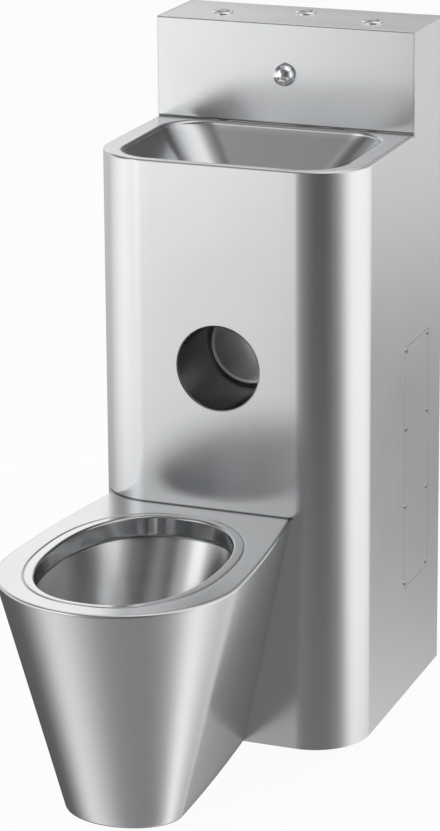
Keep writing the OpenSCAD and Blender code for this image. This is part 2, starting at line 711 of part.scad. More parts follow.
dome_r = (spout_r * spout_r + spout_reach * spout_reach) / (2 * spout_reach);
outlet_tilt = 35;
outlet_r = spout_bore + 1;
module at_spout() translate([0, -upstand_d, spout_h]) children();
module spout() color(chrome) at_spout() difference() {
    union() {
        intersection() {
            translate([0, dome_r - spout_reach, 0]) sphere(dome_r);
            along_y(-spout_reach - cut, spout_reach + cut, spout_r + cut);
        }
        along_y(-cut, 40 + cut, shank_r);
    }
    along_y(-spout_reach * 0.45, 60, spout_bore);
    translate([0, -spout_reach * 0.3, 0]) rotate([180 - outlet_tilt, 0, 0]) cylinder(r = outlet_r, h = 40);
}
module spout_insert() color(plastic) at_spout() translate([0, -spout_reach * 0.3, 0])
    rotate([180 - outlet_tilt, 0, 0]) difference() {
        translate([0, 0, 6]) cylinder(r = outlet_r - socket_gap, h = 6);
        for (a = strainer_ring) rotate(a) translate([outlet_r * 0.58, 0, 0]) cylinder(r = 1.2, h = 20, $fn = 24);
        cylinder(r = 1.2, h = 20, $fn = 24);
    }
module spout_nut() color(brass) translate([0, -splash_back, spout_h]) rotate([-90, 0, 0]) difference() {
    cylinder(r = shank_r + 7, h = 6, $fn = 6);
    translate([0, 0, -cut]) cylinder(r = shank_r + socket_gap, h = 6 + 2 * cut);
}
tee_socket = shank_r + 3;
tee_front = upstand_d - 26;
module spout_tee() color(brass) translate([0, 0, spout_h]) difference() {
    union() {
        translate([0, -tap_y, 0]) along_x(-tee_half, 2 * tee_half, tee_r);
        along_y(-tee_front, tee_front - tap_y, tee_socket);
    }
    along_y(-tee_front - cut, 15 + cut, shank_r + socket_gap);
    along_y(-tee_front, tee_front - tap_y, spout_bore);
    translate([0, -tap_y, 0]) {
        along_x(-tee_half - cut, socket_d + cut, link_r + socket_gap);
        along_x(tee_half - socket_d, socket_d + cut, link_r + socket_gap);
        along_x(-tee_half, 2 * tee_half, link_r - 1.5);
    }
}
module link_pipe(side) translate([0, -tap_y, spout_h]) mirror([side > 0 ? 0 : 1, 0, 0])
    tube_x(tee_half - socket_d + 2, tap_x - tap_body_r - tee_half + socket_d + 4, link_r, link_r - 1);
module hot_link() color(copper) link_pipe(-1);
module cold_link() color(copper) link_pipe(1);

// Push valve below the shelf: threaded neck, spring chamber and stem guide
module push_valve(body_r, low) difference() {
    union() {
        translate([0, 0, low]) cylinder(r = body_r, h = shoulder - low);
        translate([0, 0, shoulder - cut]) cylinder(r = neck_r, h = neck_top - shoulder + cut);
    }
    translate([0, 0, chamber_floor]) cylinder(r = cap_r + slide_gap, h = neck_top);
    translate([0, 0, stem_end - travel - 3]) cylinder(r = stem_r + slide_gap, h = chamber_d + 30);
}
module tap_valve(side) difference() {
    at_tap(side) push_valve(tap_body_r, tap_bottom);
    at_tap(side) translate([0, 0, tap_bottom - cut]) {
        cylinder(r = tap_pipe_r + socket_gap, h = socket_d + 2 + cut);
        cylinder(r = link_r - 1.5, h = spout_h - tap_bottom + cut);
    }
    translate([side * tap_x, -tap_y, spout_h]) mirror([side > 0 ? 1 : 0, 0, 0])
        along_x(tap_body_r - 8, 20, link_r + socket_gap);
    translate([side * tap_x, -tap_y, spout_h]) mirror([side > 0 ? 1 : 0, 0, 0])
        along_x(0, tap_body_r, link_r - 1.5);
}
module hot_valve() color(brass) tap_valve(-1);
module cold_valve() color(brass) tap_valve(1);
module flush_valve() color(brass) at_flush() difference() {
    union() {
        push_valve(flush_body_r, flush_bottom);
        translate([0, 0, flush_in]) along_x(0, main_port_x, main_pipe_r + 3.5);
    }
    translate([0, 0, stem_end - travel - 3]) cylinder(r = stem_r + slide_gap, h = chamber_d + 30);
    translate([0, 0, flush_bottom - cut]) {
        cylinder(r = flush_r + socket_gap, h = socket_d + 2 + cut);
        cylinder(r = main_pipe_r - 2, h = flush_in - flush_bottom + cut);
    }
    translate([0, 0, flush_in]) {
        along_x(main_port_x - socket_d, socket_d + cut, main_pipe_r + socket_gap);
        along_x(0, main_port_x, main_pipe_r - 2);
    }
}
module at_buttons() {
    for (side = [-1, 1]) at_tap(side) children();
    at_flush() children();
}
module locknuts() color(brass) at_buttons() difference() {
    translate([0, 0, shelf_under - locknut_h]) cylinder(r = nut_r, h = locknut_h, $fn = 6);
    translate([0, 0, shelf_under - locknut_h - cut]) cylinder(r = neck_r + socket_gap, h = locknut_h + 2 * cut);
}
module button_rings() color(chrome) at_buttons() difference() {
    union() {
        translate([0, 0, shelf_h]) cylinder(r = bezel_r, h = bezel_h / 2);
        translate([0, 0, shelf_h + bezel_h / 2]) cylinder(r1 = bezel_r, r2 = bezel_r - bezel_h / 2, h = bezel_h / 2);
    }
    translate([0, 0, shelf_h - cut]) cylinder(r = neck_r + socket_gap, h = bezel_h + 2 * cut);
}

module push_button() {
    cap_dome_r = (cap_r * cap_r + cap_dome * cap_dome) / (2 * cap_dome);
    intersection() {
        translate([0, 0, cap_bottom]) cylinder(r = cap_r, h = cap_top - cap_bottom + cap_dome + cut);
        union() {
            translate([0, 0, cap_bottom]) cylinder(r = cap_r + cut, h = cap_top - cap_bottom);
            translate([0, 0, cap_top + cap_dome - cap_dome_r]) sphere(cap_dome_r);
        }
    }
}
module push_stem() translate([0, 0, stem_end]) cylinder(r = stem_r, h = cap_bottom - stem_end);
module hot_button() color(chrome) at_tap(-1) push_button();
module cold_button() color(chrome) at_tap(1) push_button();
module flush_button() color(chrome) at_flush() push_button();
module hot_stem() color(brass) at_tap(-1) push_stem();
module cold_stem() color(brass) at_tap(1) push_stem();
module flush_stem() color(brass) at_flush() push_stem();

// Round wire wound on a cylinder, one unbroken tube
module coil(mean_r, wire, turns, height, sides = 6, per_turn = 14) {
    steps = turns * per_turn;
    rise = (height - 2 * wire) / steps;
    points = [for (i = [0:steps], k = [0:sides - 1]) let (a = 360 * i / per_turn, b = 360 * k / sides,
        r = mean_r + wire * cos(b)) [r * cos(a), r * sin(a), wire + rise * i + wire * sin(b)]];
    walls = [for (i = [0:steps - 1], k = [0:sides - 1]) let (p = i * sides + k, q = i * sides + (k + 1) % sides)
        each [[p, q, q + sides], [p, q + sides, p + sides]]];
    ends = [[for (k = [sides - 1:-1:0]) k], [for (k = [0:sides - 1]) steps * sides + k]];
    polyhedron(points = points, faces = concat(walls, ends));
}
module return_spring() translate([0, 0, chamber_floor])
    coil(spring_r, wire_r, spring_turns, cap_bottom - chamber_floor);
module hot_spring() color(steel_inner) at_tap(-1) return_spring();
module cold_spring() color(steel_inner) at_tap(1) return_spring();
module flush_spring() color(steel_inner) at_flush() return_spring();

stop_top = stop_h + stop_half;
stop_foot = stop_h - stop_half;
module tap_feed(side) at_tap(side)
    tube_z(stop_top - socket_d, tap_bottom + socket_d - stop_top + socket_d, tap_pipe_r, tap_pipe_r - 1);
module hot_feed() color(copper) tap_feed(-1);
module cold_feed() color(copper) tap_feed(1);
module flush_feed() color(copper) at_flush() {
    inner = main_pipe_r - 1;
    turn_x = main_pipe_x - supply_bend;
    translate([main_pipe_x, 0, 0])
        tube_z(stop_top - socket_d, flush_in - supply_bend - stop_top + socket_d, main_pipe_r, inner);
    translate([turn_x, 0, flush_in - supply_bend]) rotate([90, 0, 0]) rotate_extrude(angle = 90)
        translate([supply_bend, 0]) difference() {
            circle(main_pipe_r);
            circle(inner);
        }
    translate([0, 0, flush_in]) tube_x(main_port_x - socket_d + 1, turn_x - main_port_x + socket_d - 1,
        main_pipe_r, inner);
}
module inlet_bend(r, y) {
    tube_z(inlet_h + supply_bend, stop_foot + socket_d - inlet_h - supply_bend, r, r - 1);
    translate([0, 0, inlet_h + supply_bend]) mirror([0, 0, 1]) bend_up_back(supply_bend, r, r - 1);
    translate([0, 0, inlet_h]) tube_y(supply_bend, y - supply_bend, r, r - 1);
}
module inlet_bends() color(copper) {
    for (side = [-1, 1]) at_tap(side) inlet_bend(tap_pipe_r, tap_y);
    at_main() inlet_bend(main_pipe_r, flush_y);
}

// Quarter-turn stop valve on a vertical pipe, its stem towards the front
module stop_valve(body_r, bore) difference() {
    union() {
        translate([0, 0, stop_foot]) cylinder(r = body_r, h = 2 * stop_half);
        translate([0, 0, stop_h]) along_y(-body_r - boss_out, body_r + boss_out, lever_hub_r);
    }
    translate([0, 0, stop_foot - cut]) cylinder(r = bore + socket_gap, h = socket_d + cut);
    translate([0, 0, stop_top - socket_d]) cylinder(r = bore + socket_gap, h = socket_d + cut);
    translate([0, 0, stop_foot]) cylinder(r = bore - 1, h = 2 * stop_half);
    translate([0, 0, stop_h]) sphere(bore + 2 + ball_gap);
    translate([0, 0, stop_h]) along_y(-body_r - boss_out - cut, body_r + boss_out, stop_stem_r + slide_gap);
}
module stop_ball(bore) translate([0, 0, stop_h]) difference() {
    sphere(bore + 2);
    translate([0, 0, -2 * bore]) cylinder(r = bore - 1, h = 4 * bore);
}
// Lever of a stop valve, hanging along the pipe when the valve is open
module stop_lever(body_r, bore) translate([0, -body_r - boss_out - 0.5, stop_h]) {
    along_y(0, body_r + boss_out - bore - 2, stop_stem_r);
    along_y(-lever_t, lever_t, lever_hub_r);
    translate([-lever_w / 2, -lever_t, -lever_l]) cube([lever_w, lever_t, lever_l]);
    translate([0, 0, -lever_l]) along_y(-lever_t, lever_t, lever_w / 2);
}
module hot_stop_valve() color(brass) at_tap(-1) stop_valve(tap_stop_r, tap_pipe_r);
module cold_stop_valve() color(brass) at_tap(1) stop_valve(tap_stop_r, tap_pipe_r);
module flush_stop_valve() color(brass) at_main() stop_valve(main_stop_r, main_pipe_r);
module hot_stop_ball() color(chrome) at_tap(-1) stop_ball(tap_pipe_r);
module cold_stop_ball() color(chrome) at_tap(1) stop_ball(tap_pipe_r);
module flush_stop_ball() color(chrome) at_main() stop_ball(main_pipe_r);
module hot_stop_lever() color(lever_red) at_tap(-1) stop_lever(tap_stop_r, tap_pipe_r);
module cold_stop_lever() color(lever_blue) at_tap(1) stop_lever(tap_stop_r, tap_pipe_r);
module flush_stop_lever() color(lever_blue) at_main() stop_lever(main_stop_r, main_pipe_r);

cabinet_shell();
splash_panel();
basin();
roll_recess();
lower_rail();
upper_rail();
hatch_cover();
hatch_frame();
hatch_screws();
pan_shroud();
pan_top();
rim_ring();
flush_channel();
pan_bowl();
pan_sump();
pan_trap();
waste_pipe();
waste_seal();
flush_pipe();
flush_sleeve();
strainer();
drain_washer();
drain_nut();
bottle_trap();
trap_cup();
drain_pipe();
spout();
spout_insert();
spout_nut();
spout_tee();
hot_link();
cold_link();
hot_valve();
cold_valve();
flush_valve();
locknuts();
button_rings();
hot_button();
cold_button();
flush_button();
hot_stem();
cold_stem();
flush_stem();
hot_spring();
cold_spring();
flush_spring();
hot_feed();
cold_feed();
flush_feed();
inlet_bends();
hot_stop_valve();
cold_stop_valve();
flush_stop_valve();
hot_stop_ball();
cold_stop_ball();
flush_stop_ball();
hot_stop_lever();
cold_stop_lever();
flush_stop_lever();
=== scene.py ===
"""Looks of a stainless steel toilet and basin combination unit, with its studio."""

import contextlib
import json
import math

import bmesh
import bpy
from bpy.props import FloatProperty, FloatVectorProperty, PointerProperty
from mathutils import Matrix, Vector


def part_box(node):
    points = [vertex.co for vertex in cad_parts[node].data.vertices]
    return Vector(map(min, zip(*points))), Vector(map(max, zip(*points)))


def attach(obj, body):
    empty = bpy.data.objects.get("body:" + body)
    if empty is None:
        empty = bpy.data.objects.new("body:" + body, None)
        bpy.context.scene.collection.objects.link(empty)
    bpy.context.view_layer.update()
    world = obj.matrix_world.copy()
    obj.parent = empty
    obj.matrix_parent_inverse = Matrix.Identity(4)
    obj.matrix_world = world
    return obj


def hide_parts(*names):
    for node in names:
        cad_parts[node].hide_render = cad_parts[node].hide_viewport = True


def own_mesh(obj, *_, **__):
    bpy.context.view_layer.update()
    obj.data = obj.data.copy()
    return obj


bl_info = {
    "name": "Toilet and basin combination unit",
    "version": (1, 0, 0),
    "blender": (4, 5, 0),
    "location": "View3D > Sidebar > Combination unit",
    "description": "Sheet metal, fittings, finishes and studio of the combination unit",
    "category": "Object",
}

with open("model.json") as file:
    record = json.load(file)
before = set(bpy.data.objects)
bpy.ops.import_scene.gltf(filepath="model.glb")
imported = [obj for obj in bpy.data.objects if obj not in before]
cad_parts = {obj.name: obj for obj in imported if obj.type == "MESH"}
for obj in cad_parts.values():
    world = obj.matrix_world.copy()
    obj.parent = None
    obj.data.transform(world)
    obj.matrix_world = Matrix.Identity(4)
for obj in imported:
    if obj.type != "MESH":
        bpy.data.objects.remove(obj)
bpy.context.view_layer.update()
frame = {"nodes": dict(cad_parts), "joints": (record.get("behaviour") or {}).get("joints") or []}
UNIT = "unit"
BUTTONS = ("hot", "cold", "flush")

# Places and sizes from the frame
CASE_LOW, CASE_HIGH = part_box("cabinet_shell")
PANEL_LOW, PANEL_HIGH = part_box("splash_panel")
BASIN_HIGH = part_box("basin")[1]
TOP_LOW, TOP_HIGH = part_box("pan_top")
RING_LOW, RING_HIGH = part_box("rim_ring")
RECESS_LOW, RECESS_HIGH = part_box("roll_recess")
CHANNEL_LOW, CHANNEL_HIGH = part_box("flush_channel")
STRAINER_LOW, STRAINER_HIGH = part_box("strainer")
TRAP_LOW, TRAP_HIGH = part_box("pan_trap")
HATCH_LOW, HATCH_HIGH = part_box("hatch_cover")
WASTE_LOW, WASTE_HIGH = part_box("waste_pipe")
FLUSH_LOW, FLUSH_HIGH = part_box("flush_pipe")

HALF_WIDTH = CASE_HIGH.x
FRONT = CASE_LOW.y
RIM = BASIN_HIGH.z
SHELF = PANEL_HIGH.z
UPSTAND = PANEL_LOW.y
PAN_X = (TOP_LOW.x + TOP_HIGH.x) / 2
PAN_TOP = TOP_HIGH.z
MOUTH = Vector((PAN_X, (RING_LOW.y + RING_HIGH.y) / 2, PAN_TOP))
RING_HALF = (RING_HIGH.x - RING_LOW.x) / 2
RING_LEN = (RING_HIGH.y - RING_LOW.y) / 2
RECESS_Z = (RECESS_LOW.z + RECESS_HIGH.z) / 2
RECESS_R = (RECESS_HIGH.z - RECESS_LOW.z) / 2
WASTE_Z = (WASTE_LOW.z + WASTE_HIGH.z) / 2
WASTE_R = (WASTE_HIGH.z - WASTE_LOW.z) / 2
FLUSH_R = FLUSH_HIGH.x
DRAIN_Y = (STRAINER_LOW.y + STRAINER_HIGH.y) / 2

# Gaps in metres: where two sheets all but touch, round a pipe through the casing and round the hatch cover
HAIR = 0.0003
PIPE_GAP = 0.004
HATCH_GAP = 0.0006
# Fixing holes: their radius, their heights in the wall flanges and their places along the floor flanges
FIXING_R = 0.0045
FIXING_HEIGHTS = (0.09, SHELF - 0.08)
FLOOR_FIXINGS = (-0.06, -0.28)
# Half the length of a cutter, and the radius that a turned profile ends with
CUTTER_HALF = 0.02
TIP = 0.00002


def each(ending):
    """Names of the three nodes, for hot, cold and flush, that have an ending."""
    return [who + ending for who in BUTTONS]


def length(name, about, default):
    """A size in metres that a user may set."""
    return FloatProperty(name=name, description=about, default=default, min=0,
                         subtype="DISTANCE", unit="LENGTH")


def tone(name, about, default):
    """A colour that a user may set."""
    return FloatVectorProperty(name=name, description=about, default=default,
                               size=3, min=0, max=1, subtype="COLOR")


class CombiSheet(bpy.types.PropertyGroup):
    """Sizes of the cabinet's sheet metal."""

    gauge: length("Sheet", "Thickness of the sheet", 0.0015)
    corner_r: length("Corner", "Outer radius of the two front corners", 0.085)
    flange: length("Flange", "Width of the flange on the wall", 0.032)
    wall_bend: length("Wall bend", "Outer radius of the fold at the wall", 0.003)
    deck_edge: length("Deck edge", "Radius where the deck meets the casing", 0.004)
    panel_bend: length("Panel bend", "Outer radius of the fold between upstand and shelf", 0.003)
    seam: length("Seam", "Gap between panel and side sheet", 0.0004)
    soften: length("Edge", "Small round on cut sheet edges", 0.0004)
    hatch_r: length("Hatch corner", "Corner radius of the hatch opening", 0.004)
    recess_lip: length("Recess lip", "Round between the front and the roll recess", 0.0018)
    recess_fillet: length("Recess fillet", "Round between the wall and the back of the recess", 0.007)
    recess_flange: length("Recess flange", "Width of the flange behind the front", 0.012)


class CombiBowl(bpy.types.PropertyGroup):
    """Sizes of the basin's bowl."""

    half_w: length("Half width", "Half the width of the opening", 0.167)
    half_l: length("Half length", "Half the length of the opening", 0.125)
    rim: length("Rim", "Flat rim between the opening and the front", 0.016)
    corner_r: length("Corner", "Corner radius of the opening", 0.060)
    roll: length("Roll", "Radius of the rolled edge of the opening", 0.006)
    floor_w: length("Floor half width", "Half the width of the bowl floor", 0.073)
    floor_l: length("Floor half length", "Half the length of the bowl floor", 0.048)
    floor_r: length("Floor corner", "Corner radius of the floor", 0.032)
    edge_r: length("Edge", "Radius between wall and floor", 0.022)
    depth: length("Depth", "Depth of the bowl", 0.122)
    drain_r: length("Drain", "Radius of the hole for the drain", 0.0225)
    lip: length("Lip", "Reach of the deck under the upstand", 0.015)


class CombiPan(bpy.types.PropertyGroup):
    """Sizes of the toilet pan."""

    root: length("Root", "Half the width of the top at the cabinet", 0.145)
    half: length("Half width", "Half the greatest width of the top", 0.172)
    reach: length("Reach", "Distance of the widest line of the top from the cabinet", 0.275)
    foot_root: length("Foot root", "Half the width of the foot at the cabinet", 0.072)
    foot_half: length("Foot half width", "Half the greatest width of the foot", 0.085)
    foot_reach: length("Foot reach", "Distance of the widest line of the foot from the cabinet", 0.272)
    foot_nose: length("Foot nose", "Length of the round nose of the foot", 0.064)
    curve: FloatProperty(name="Side curve", description="Fullness of the sides", default=1.7, min=1)
    oval: FloatProperty(name="Oval", description="Fullness of the opening, 2 is an ellipse",
                        default=2.3, min=1)
    edge: length("Top edge", "Radius where top plate and skirt meet", 0.0045)
    groove: length("Groove", "Half width of the groove round the ring", 0.0010)
    groove_depth: length("Groove depth", "Depth of that groove", 0.0018)
    ring_w: length("Ring width", "Width of the flat ring sideways", 0.016)
    ring_l: length("Ring length", "Width of the flat ring at front and back", 0.0115)
    ring_roll: length("Ring roll", "Radius between the ring and its polished skirt", 0.0035)
    skirt: length("Skirt", "Height of the polished skirt", 0.028)
    foot_flange: length("Foot flange", "Width of the foot flange turned inwards", 0.021)


class CombiFinish(bpy.types.PropertyGroup):
    """Colours of the finishes."""

    satin: tone("Satin steel", "Brushed outside sheet", (0.72, 0.73, 0.74))
    bowl: tone("Bowl steel", "Brushed inside of the pan", (0.78, 0.79, 0.80))
    mill: tone("Mill steel", "Unpolished inner steel", (0.60, 0.61, 0.62))
    polished: tone("Polished steel", "Bright polished steel", (0.80, 0.81, 0.82))
    # The recess wall's tone is darkened as painted shade inside the recess
    recess: tone("Recess wall", "Drawn wall of the roll recess", (0.40, 0.40, 0.41))
    # The recess disc's tone is lightened as a painted highlight
    disc: tone("Recess disc", "Bright back of the roll recess", (0.86, 0.86, 0.87))
    chrome: tone("Chrome", "Bright chrome plate", (0.88, 0.89, 0.90))
    brass: tone("Brass", "Machined brass", (0.80, 0.62, 0.30))
    copper: tone("Copper", "Drawn copper tube", (0.82, 0.47, 0.32))
    rubber: tone("Rubber", "Black seal rubber", (0.030, 0.030, 0.032))
    plastic: tone("Plastic", "White moulded plastic", (0.84, 0.84, 0.81))
    red: tone("Hot lever", "Red dipped lever", (0.55, 0.030, 0.020))
    blue: tone("Cold lever", "Blue dipped lever", (0.020, 0.075, 0.42))
    floor: tone("Floor", "Pale studio floor", (0.86, 0.86, 0.86))


def sheet_sizes():
    return bpy.context.scene.combi_sheet


def bowl_sizes():
    return bpy.context.scene.combi_bowl


def pan_sizes():
    return bpy.context.scene.combi_pan


def finish_colours():
    return bpy.context.scene.combi_finish


# Shader expressions

class Wire:
    """A socket that takes part in Python arithmetic; each operator adds a Math node."""

    def __init__(self, net, socket):
        self.net = net
        self.socket = socket

    def maths(self, operation, *values):
        return self.net.add("ShaderNodeMath", {"operation": operation}, dict(enumerate(values)))

    def __add__(self, other):
        return self.maths("ADD", self, other)

    def __radd__(self, other):
        return self.maths("ADD", other, self)

    def __sub__(self, other):
        return self.maths("SUBTRACT", self, other)

    def __rsub__(self, other):
        return self.maths("SUBTRACT", other, self)

    def __mul__(self, other):
        return self.maths("MULTIPLY", self, other)

    def __rmul__(self, other):
        return self.maths("MULTIPLY", other, self)

    def __truediv__(self, other):
        return self.maths("DIVIDE", self, other)

    def output(self, name):
        """Another output of the node that this wire comes from."""
        return Wire(self.net, self.socket.node.outputs[name])


class Net:
    """The node tree of a material or of the world."""

    def __init__(self, owner):
        owner.use_nodes = True
        self.tree = owner.node_tree
        self.tree.nodes.clear()

    def add(self, kind, settings=None, sockets=None, output=0):
        """Adds a node, sets it up, feeds its sockets and returns one of its outputs as a wire."""
        node = self.tree.nodes.new(kind)
        for key, value in (settings or {}).items():
            if key == "stops":
                self.set_stops(node.color_ramp, value)
            elif key == "interpolation":
                node.color_ramp.interpolation = value
            else:
                setattr(node, key, value)
        for key, value in (sockets or {}).items():
            self.feed(node.inputs[key], value)
        return Wire(self, node.outputs[output])

    def feed(self, socket, value):
        """Links a wire to a socket, or sets the socket to a value."""
        if isinstance(value, Wire):
            self.tree.links.new(value.socket, socket)
        else:
            socket.default_value = value

    def set_stops(self, ramp, stops):
        """Grey levels of a ramp at places from 0 to 1."""
        while len(ramp.elements) > 1:
            ramp.elements.remove(ramp.elements[-1])
        for index, (place, level) in enumerate(stops):
            stop = ramp.elements[0] if index == 0 else ramp.elements.new(place)
            stop.position = place
            stop.color = (level, level, level, 1)

    def between(self, factor, low, high):
        """Colour that goes from low to high as factor goes from 0 to 1."""
        return self.add("ShaderNodeMix", {"data_type": "RGBA"}, {0: factor, 6: low, 7: high}, output=2)

    def place(self, stretch):
        """Object coordinates, stretched."""
        coords = self.add("ShaderNodeTexCoord", output="Object")
        return self.add("ShaderNodeMapping", {"vector_type": "POINT"}, {"Vector": coords, "Scale": stretch})

    def noise(self, stretch, detail):
        """Noise whose cells have a number to the metre along each axis."""
        return self.add("ShaderNodeTexNoise", None,
                        {"Vector": self.place(stretch), "Scale": 1.0, "Detail": detail, "Roughness": 0.6})

    def rising(self, axis, low, high):
        """0 below low and 1 above high along an axis of the object."""
        axes = self.add("ShaderNodeSeparateXYZ", None, {0: self.add("ShaderNodeTexCoord", output="Object")})
        return self.add("ShaderNodeMapRange", {"interpolation_type": "SMOOTHSTEP"},
                        {"Value": axes.output(axis), "From Min": low, "From Max": high})

    def end(self, shader, kind="ShaderNodeOutputMaterial"):
        """Sends a shader to the output."""
        out = self.tree.nodes.new(kind)
        self.tree.links.new(shader.socket, out.inputs["Surface"])


def shade(colour, factor):
    """A colour made lighter or darker, with alpha."""
    return tuple(min(1.0, channel * factor) for channel in colour[:3]) + (1.0,)


# Grain of worked metal, in lines to the metre across it and along it
FINE = 1400.0
LONG = 7.0
# How many times broader its second grain is, and how many smudges it has to the metre
BROADER = 9
SMUDGE = 6.0


def metal(name, colour, roughness, grain="", spread=0.06, contrast=0.03, relief=0.00004, brushed=0.0,
          turned=0.25, joint=None):
    """Metal with a grain along the named axes and soft smudges.

    Brushed spreads its shine across the grain, turned is the grain's share of a turn from upright, and
    joint is a mask that is 0 in a line of painted shade.
    """
    made = bpy.data.materials.new(name)
    net = Net(made)
    stretch = [LONG if axis in grain else FINE for axis in "xyz"]
    lines = net.noise(stretch, detail=3.0)
    broad = net.noise([scale / BROADER for scale in stretch], detail=2.0)
    cloud = net.noise([SMUDGE] * 3, detail=3.0)
    streak = lines * 0.6 + broad * 0.4
    base = net.between(streak, shade(colour, 1 - contrast), shade(colour, 1 + contrast))
    base = net.between(cloud * 0.5, base, shade(colour, 0.97))
    # A joint mask darkens the colour into a line of painted shade where two parts meet
    if joint:
        base = net.between(joint(net), shade(colour, 0.2), base)
    rough = roughness + (streak - 0.5) * spread + (cloud - 0.5) * (spread * 0.8)
    bump = net.add("ShaderNodeBump", None, {"Strength": 0.2, "Distance": relief, "Height": streak})
    surface = net.add("ShaderNodeBsdfPrincipled", None,
                      {"Base Color": base, "Metallic": 1.0, "Roughness": rough, "Anisotropic": brushed,
                       "Anisotropic Rotation": turned, "Normal": bump})
    net.end(surface)


def moulded(name, colour, roughness, grain, coat=0.0):
    """Rubber or plastic with a fine skin, whose grains have a number to the metre."""
    made = bpy.data.materials.new(name)
    net = Net(made)
    skin = net.noise([grain] * 3, detail=3.0)
    cloud = net.noise([30.0] * 3, detail=2.0)
    base = net.between(skin, shade(colour, 0.9), shade(colour, 1.1))
    base = net.between(cloud * 0.4, base, shade(colour, 0.85))
    bump = net.add("ShaderNodeBump", None, {"Strength": 0.3, "Distance": 0.0001, "Height": skin})
    surface = net.add("ShaderNodeBsdfPrincipled", None,
                      {"Base Color": base, "Roughness": roughness + (skin - 0.5) * 0.12,
                       "Coat Weight": coat, "Normal": bump})
    net.end(surface)


# Mesh building

def piece_from(name, vertices, faces):
    """A new mesh object in the scene."""
    mesh = bpy.data.meshes.new(name)
    mesh.from_pydata([tuple(vertex) for vertex in vertices], [], faces)
    mesh.validate()
    piece = bpy.data.objects.new(name, mesh)
    bpy.context.scene.collection.objects.link(piece)
    return piece


def skin(name, rings, closed=True, last=False):
    """Quads between neighbouring rings of points, with a cap on the last ring where asked."""
    count = len(rings[0])
    faces = []
    for row in range(len(rings) - 1):
        low, high = row * count, (row + 1) * count
        for k in range(count if closed else count - 1):
            after = (k + 1) % count
            faces.append((low + k, low + after, high + after, high + k))
    if last:
        faces.append(tuple((len(rings) - 1) * count + k for k in range(count)))
    return piece_from(name, [point for ring in rings for point in ring], faces)


def lathe(name, profile, centre, axis, segments=96, last=False):
    """Turns a profile of (radius, height along the axis) about an axis through a point.

    Last closes the piece at the end of its profile.
    """
    turn = Vector((0, 0, 1)).rotation_difference(Vector(axis)).to_matrix()
    angles = [math.tau * k / segments for k in range(segments)]
    rings = []
    for radius, height in profile:
        circle = [Vector((radius * math.cos(angle), radius * math.sin(angle), height)) for angle in angles]
        rings.append([Vector(centre) + turn @ point for point in circle])
    return skin(name, rings, last=last)


def arc(radius, start, stop, steps):
    """Points (x, y) on a circle from one angle to another, in degrees, both ends included."""
    return [(radius * math.cos(math.radians(angle)), radius * math.sin(math.radians(angle)))
            for angle in (start + (stop - start) * k / steps for k in range(steps + 1))]


def dome(radius, rise, top, steps, first=1):
    """Profile points over a round cap from near its edge to near its crown, which is at height top."""
    ball = (radius * radius + rise * rise) / (2 * rise)
    edge = math.atan2(radius, ball - rise)
    return [(ball * math.sin(angle), top - ball + ball * math.cos(angle))
            for angle in (edge * (1 - k / steps) for k in range(first, steps))]


def nearest_to(places, distance):
    """Number of the place with the least distance."""
    return min(range(len(places)), key=lambda k: distance(places[k]))


@contextlib.contextmanager
def editing(piece):
    """The mesh of a piece, open for edits to its faces."""
    work = bmesh.new()
    work.from_mesh(piece.data)
    yield work
    work.to_mesh(piece.data)
    work.free()


def apply_all(piece):
    """Bakes the modifiers of a piece into its mesh."""
    bpy.context.view_layer.update()
    graph = bpy.context.evaluated_depsgraph_get()
    baked = bpy.data.meshes.new_from_object(piece.evaluated_get(graph))
    old = piece.data
    piece.modifiers.clear()
    piece.data = baked
    bpy.data.meshes.remove(old)


def thicken(piece, gauge, towards):
    """Makes a sheet solid. Its skin faces along towards(point), and the thickness goes the other way."""
    mesh = piece.data
    votes = sum(face.normal.dot(towards(face.center)) * face.area for face in mesh.polygons)
    if votes < 0:
        mesh.flip_normals()
    solid = piece.modifiers.new("gauge", "SOLIDIFY")
    solid.thickness = gauge
    solid.offset = -1
    solid.use_even_offset = True
    apply_all(piece)


def cut(piece, *cutters):
    """Takes the cutters out of a piece, then removes them."""
    for cutter in cutters:
        hole = piece.modifiers.new("cut", "BOOLEAN")
        hole.object = cutter
        hole.operation = "DIFFERENCE"
        hole.solver = "EXACT"
        apply_all(piece)
        bpy.data.objects.remove(cutter)


def rod(centre, axis, radius, half, segments=96):
    """A cutter: a closed cylinder about a centre."""
    return closed(lathe("cutter", [(radius, -half), (radius, half)], centre, axis, segments))


def closed(piece):
    """Closes the open ends of a tube and turns its faces outwards."""
    with editing(piece) as work:
        edges = [edge for edge in work.edges if edge.is_boundary]
        bmesh.ops.holes_fill(work, edges=edges, sides=0)
        bmesh.ops.recalc_face_normals(work, faces=work.faces)
    return piece


def soft_edges(piece, width, angle, segments=2):
    """A small round on every edge sharper than an angle."""
    if width <= 0:
        return
    bevel = piece.modifiers.new("edge", "BEVEL")
    bevel.width = width
    bevel.segments = segments
    bevel.limit_method = "ANGLE"
    bevel.angle_limit = math.radians(angle)
    bevel.use_clamp_overlap = True


def smooth(piece, angle):
    """Smooth shading with sharp edges kept, flat faces staying flat."""
    mesh = piece.data
    mesh.polygons.foreach_set("use_smooth", [True] * len(mesh.polygons))
    mesh.set_sharp_from_angle(angle=math.radians(angle))
    even = piece.modifiers.new("even", "WEIGHTED_NORMAL")
    even.keep_sharp = True
    even.weight = 60


def dress(piece, material, nodes=(), body=UNIT, edge=0.0, angle=40.0):
    """Last steps of every new piece: edges, shading, finish, body and the nodes it stands for."""
    soft_edges(piece, edge, angle)
    if edge > 0:
        apply_all(piece)
    smooth(piece, angle)
    piece.data.materials.clear()
    piece.data.materials.append(bpy.data.materials[material])
    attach(piece, body)
    if nodes:
        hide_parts(*nodes)
    return piece


def keep(node, material, edge=0.0):
    """A node that stays as it is and takes a finish and small rounds."""
    part = frame["nodes"][node]
    part.data.materials.clear()
    part.data.materials.append(bpy.data.materials[material])
    soft_edges(part, edge, 50.0, 1)


# Outlines in plan, given as distances

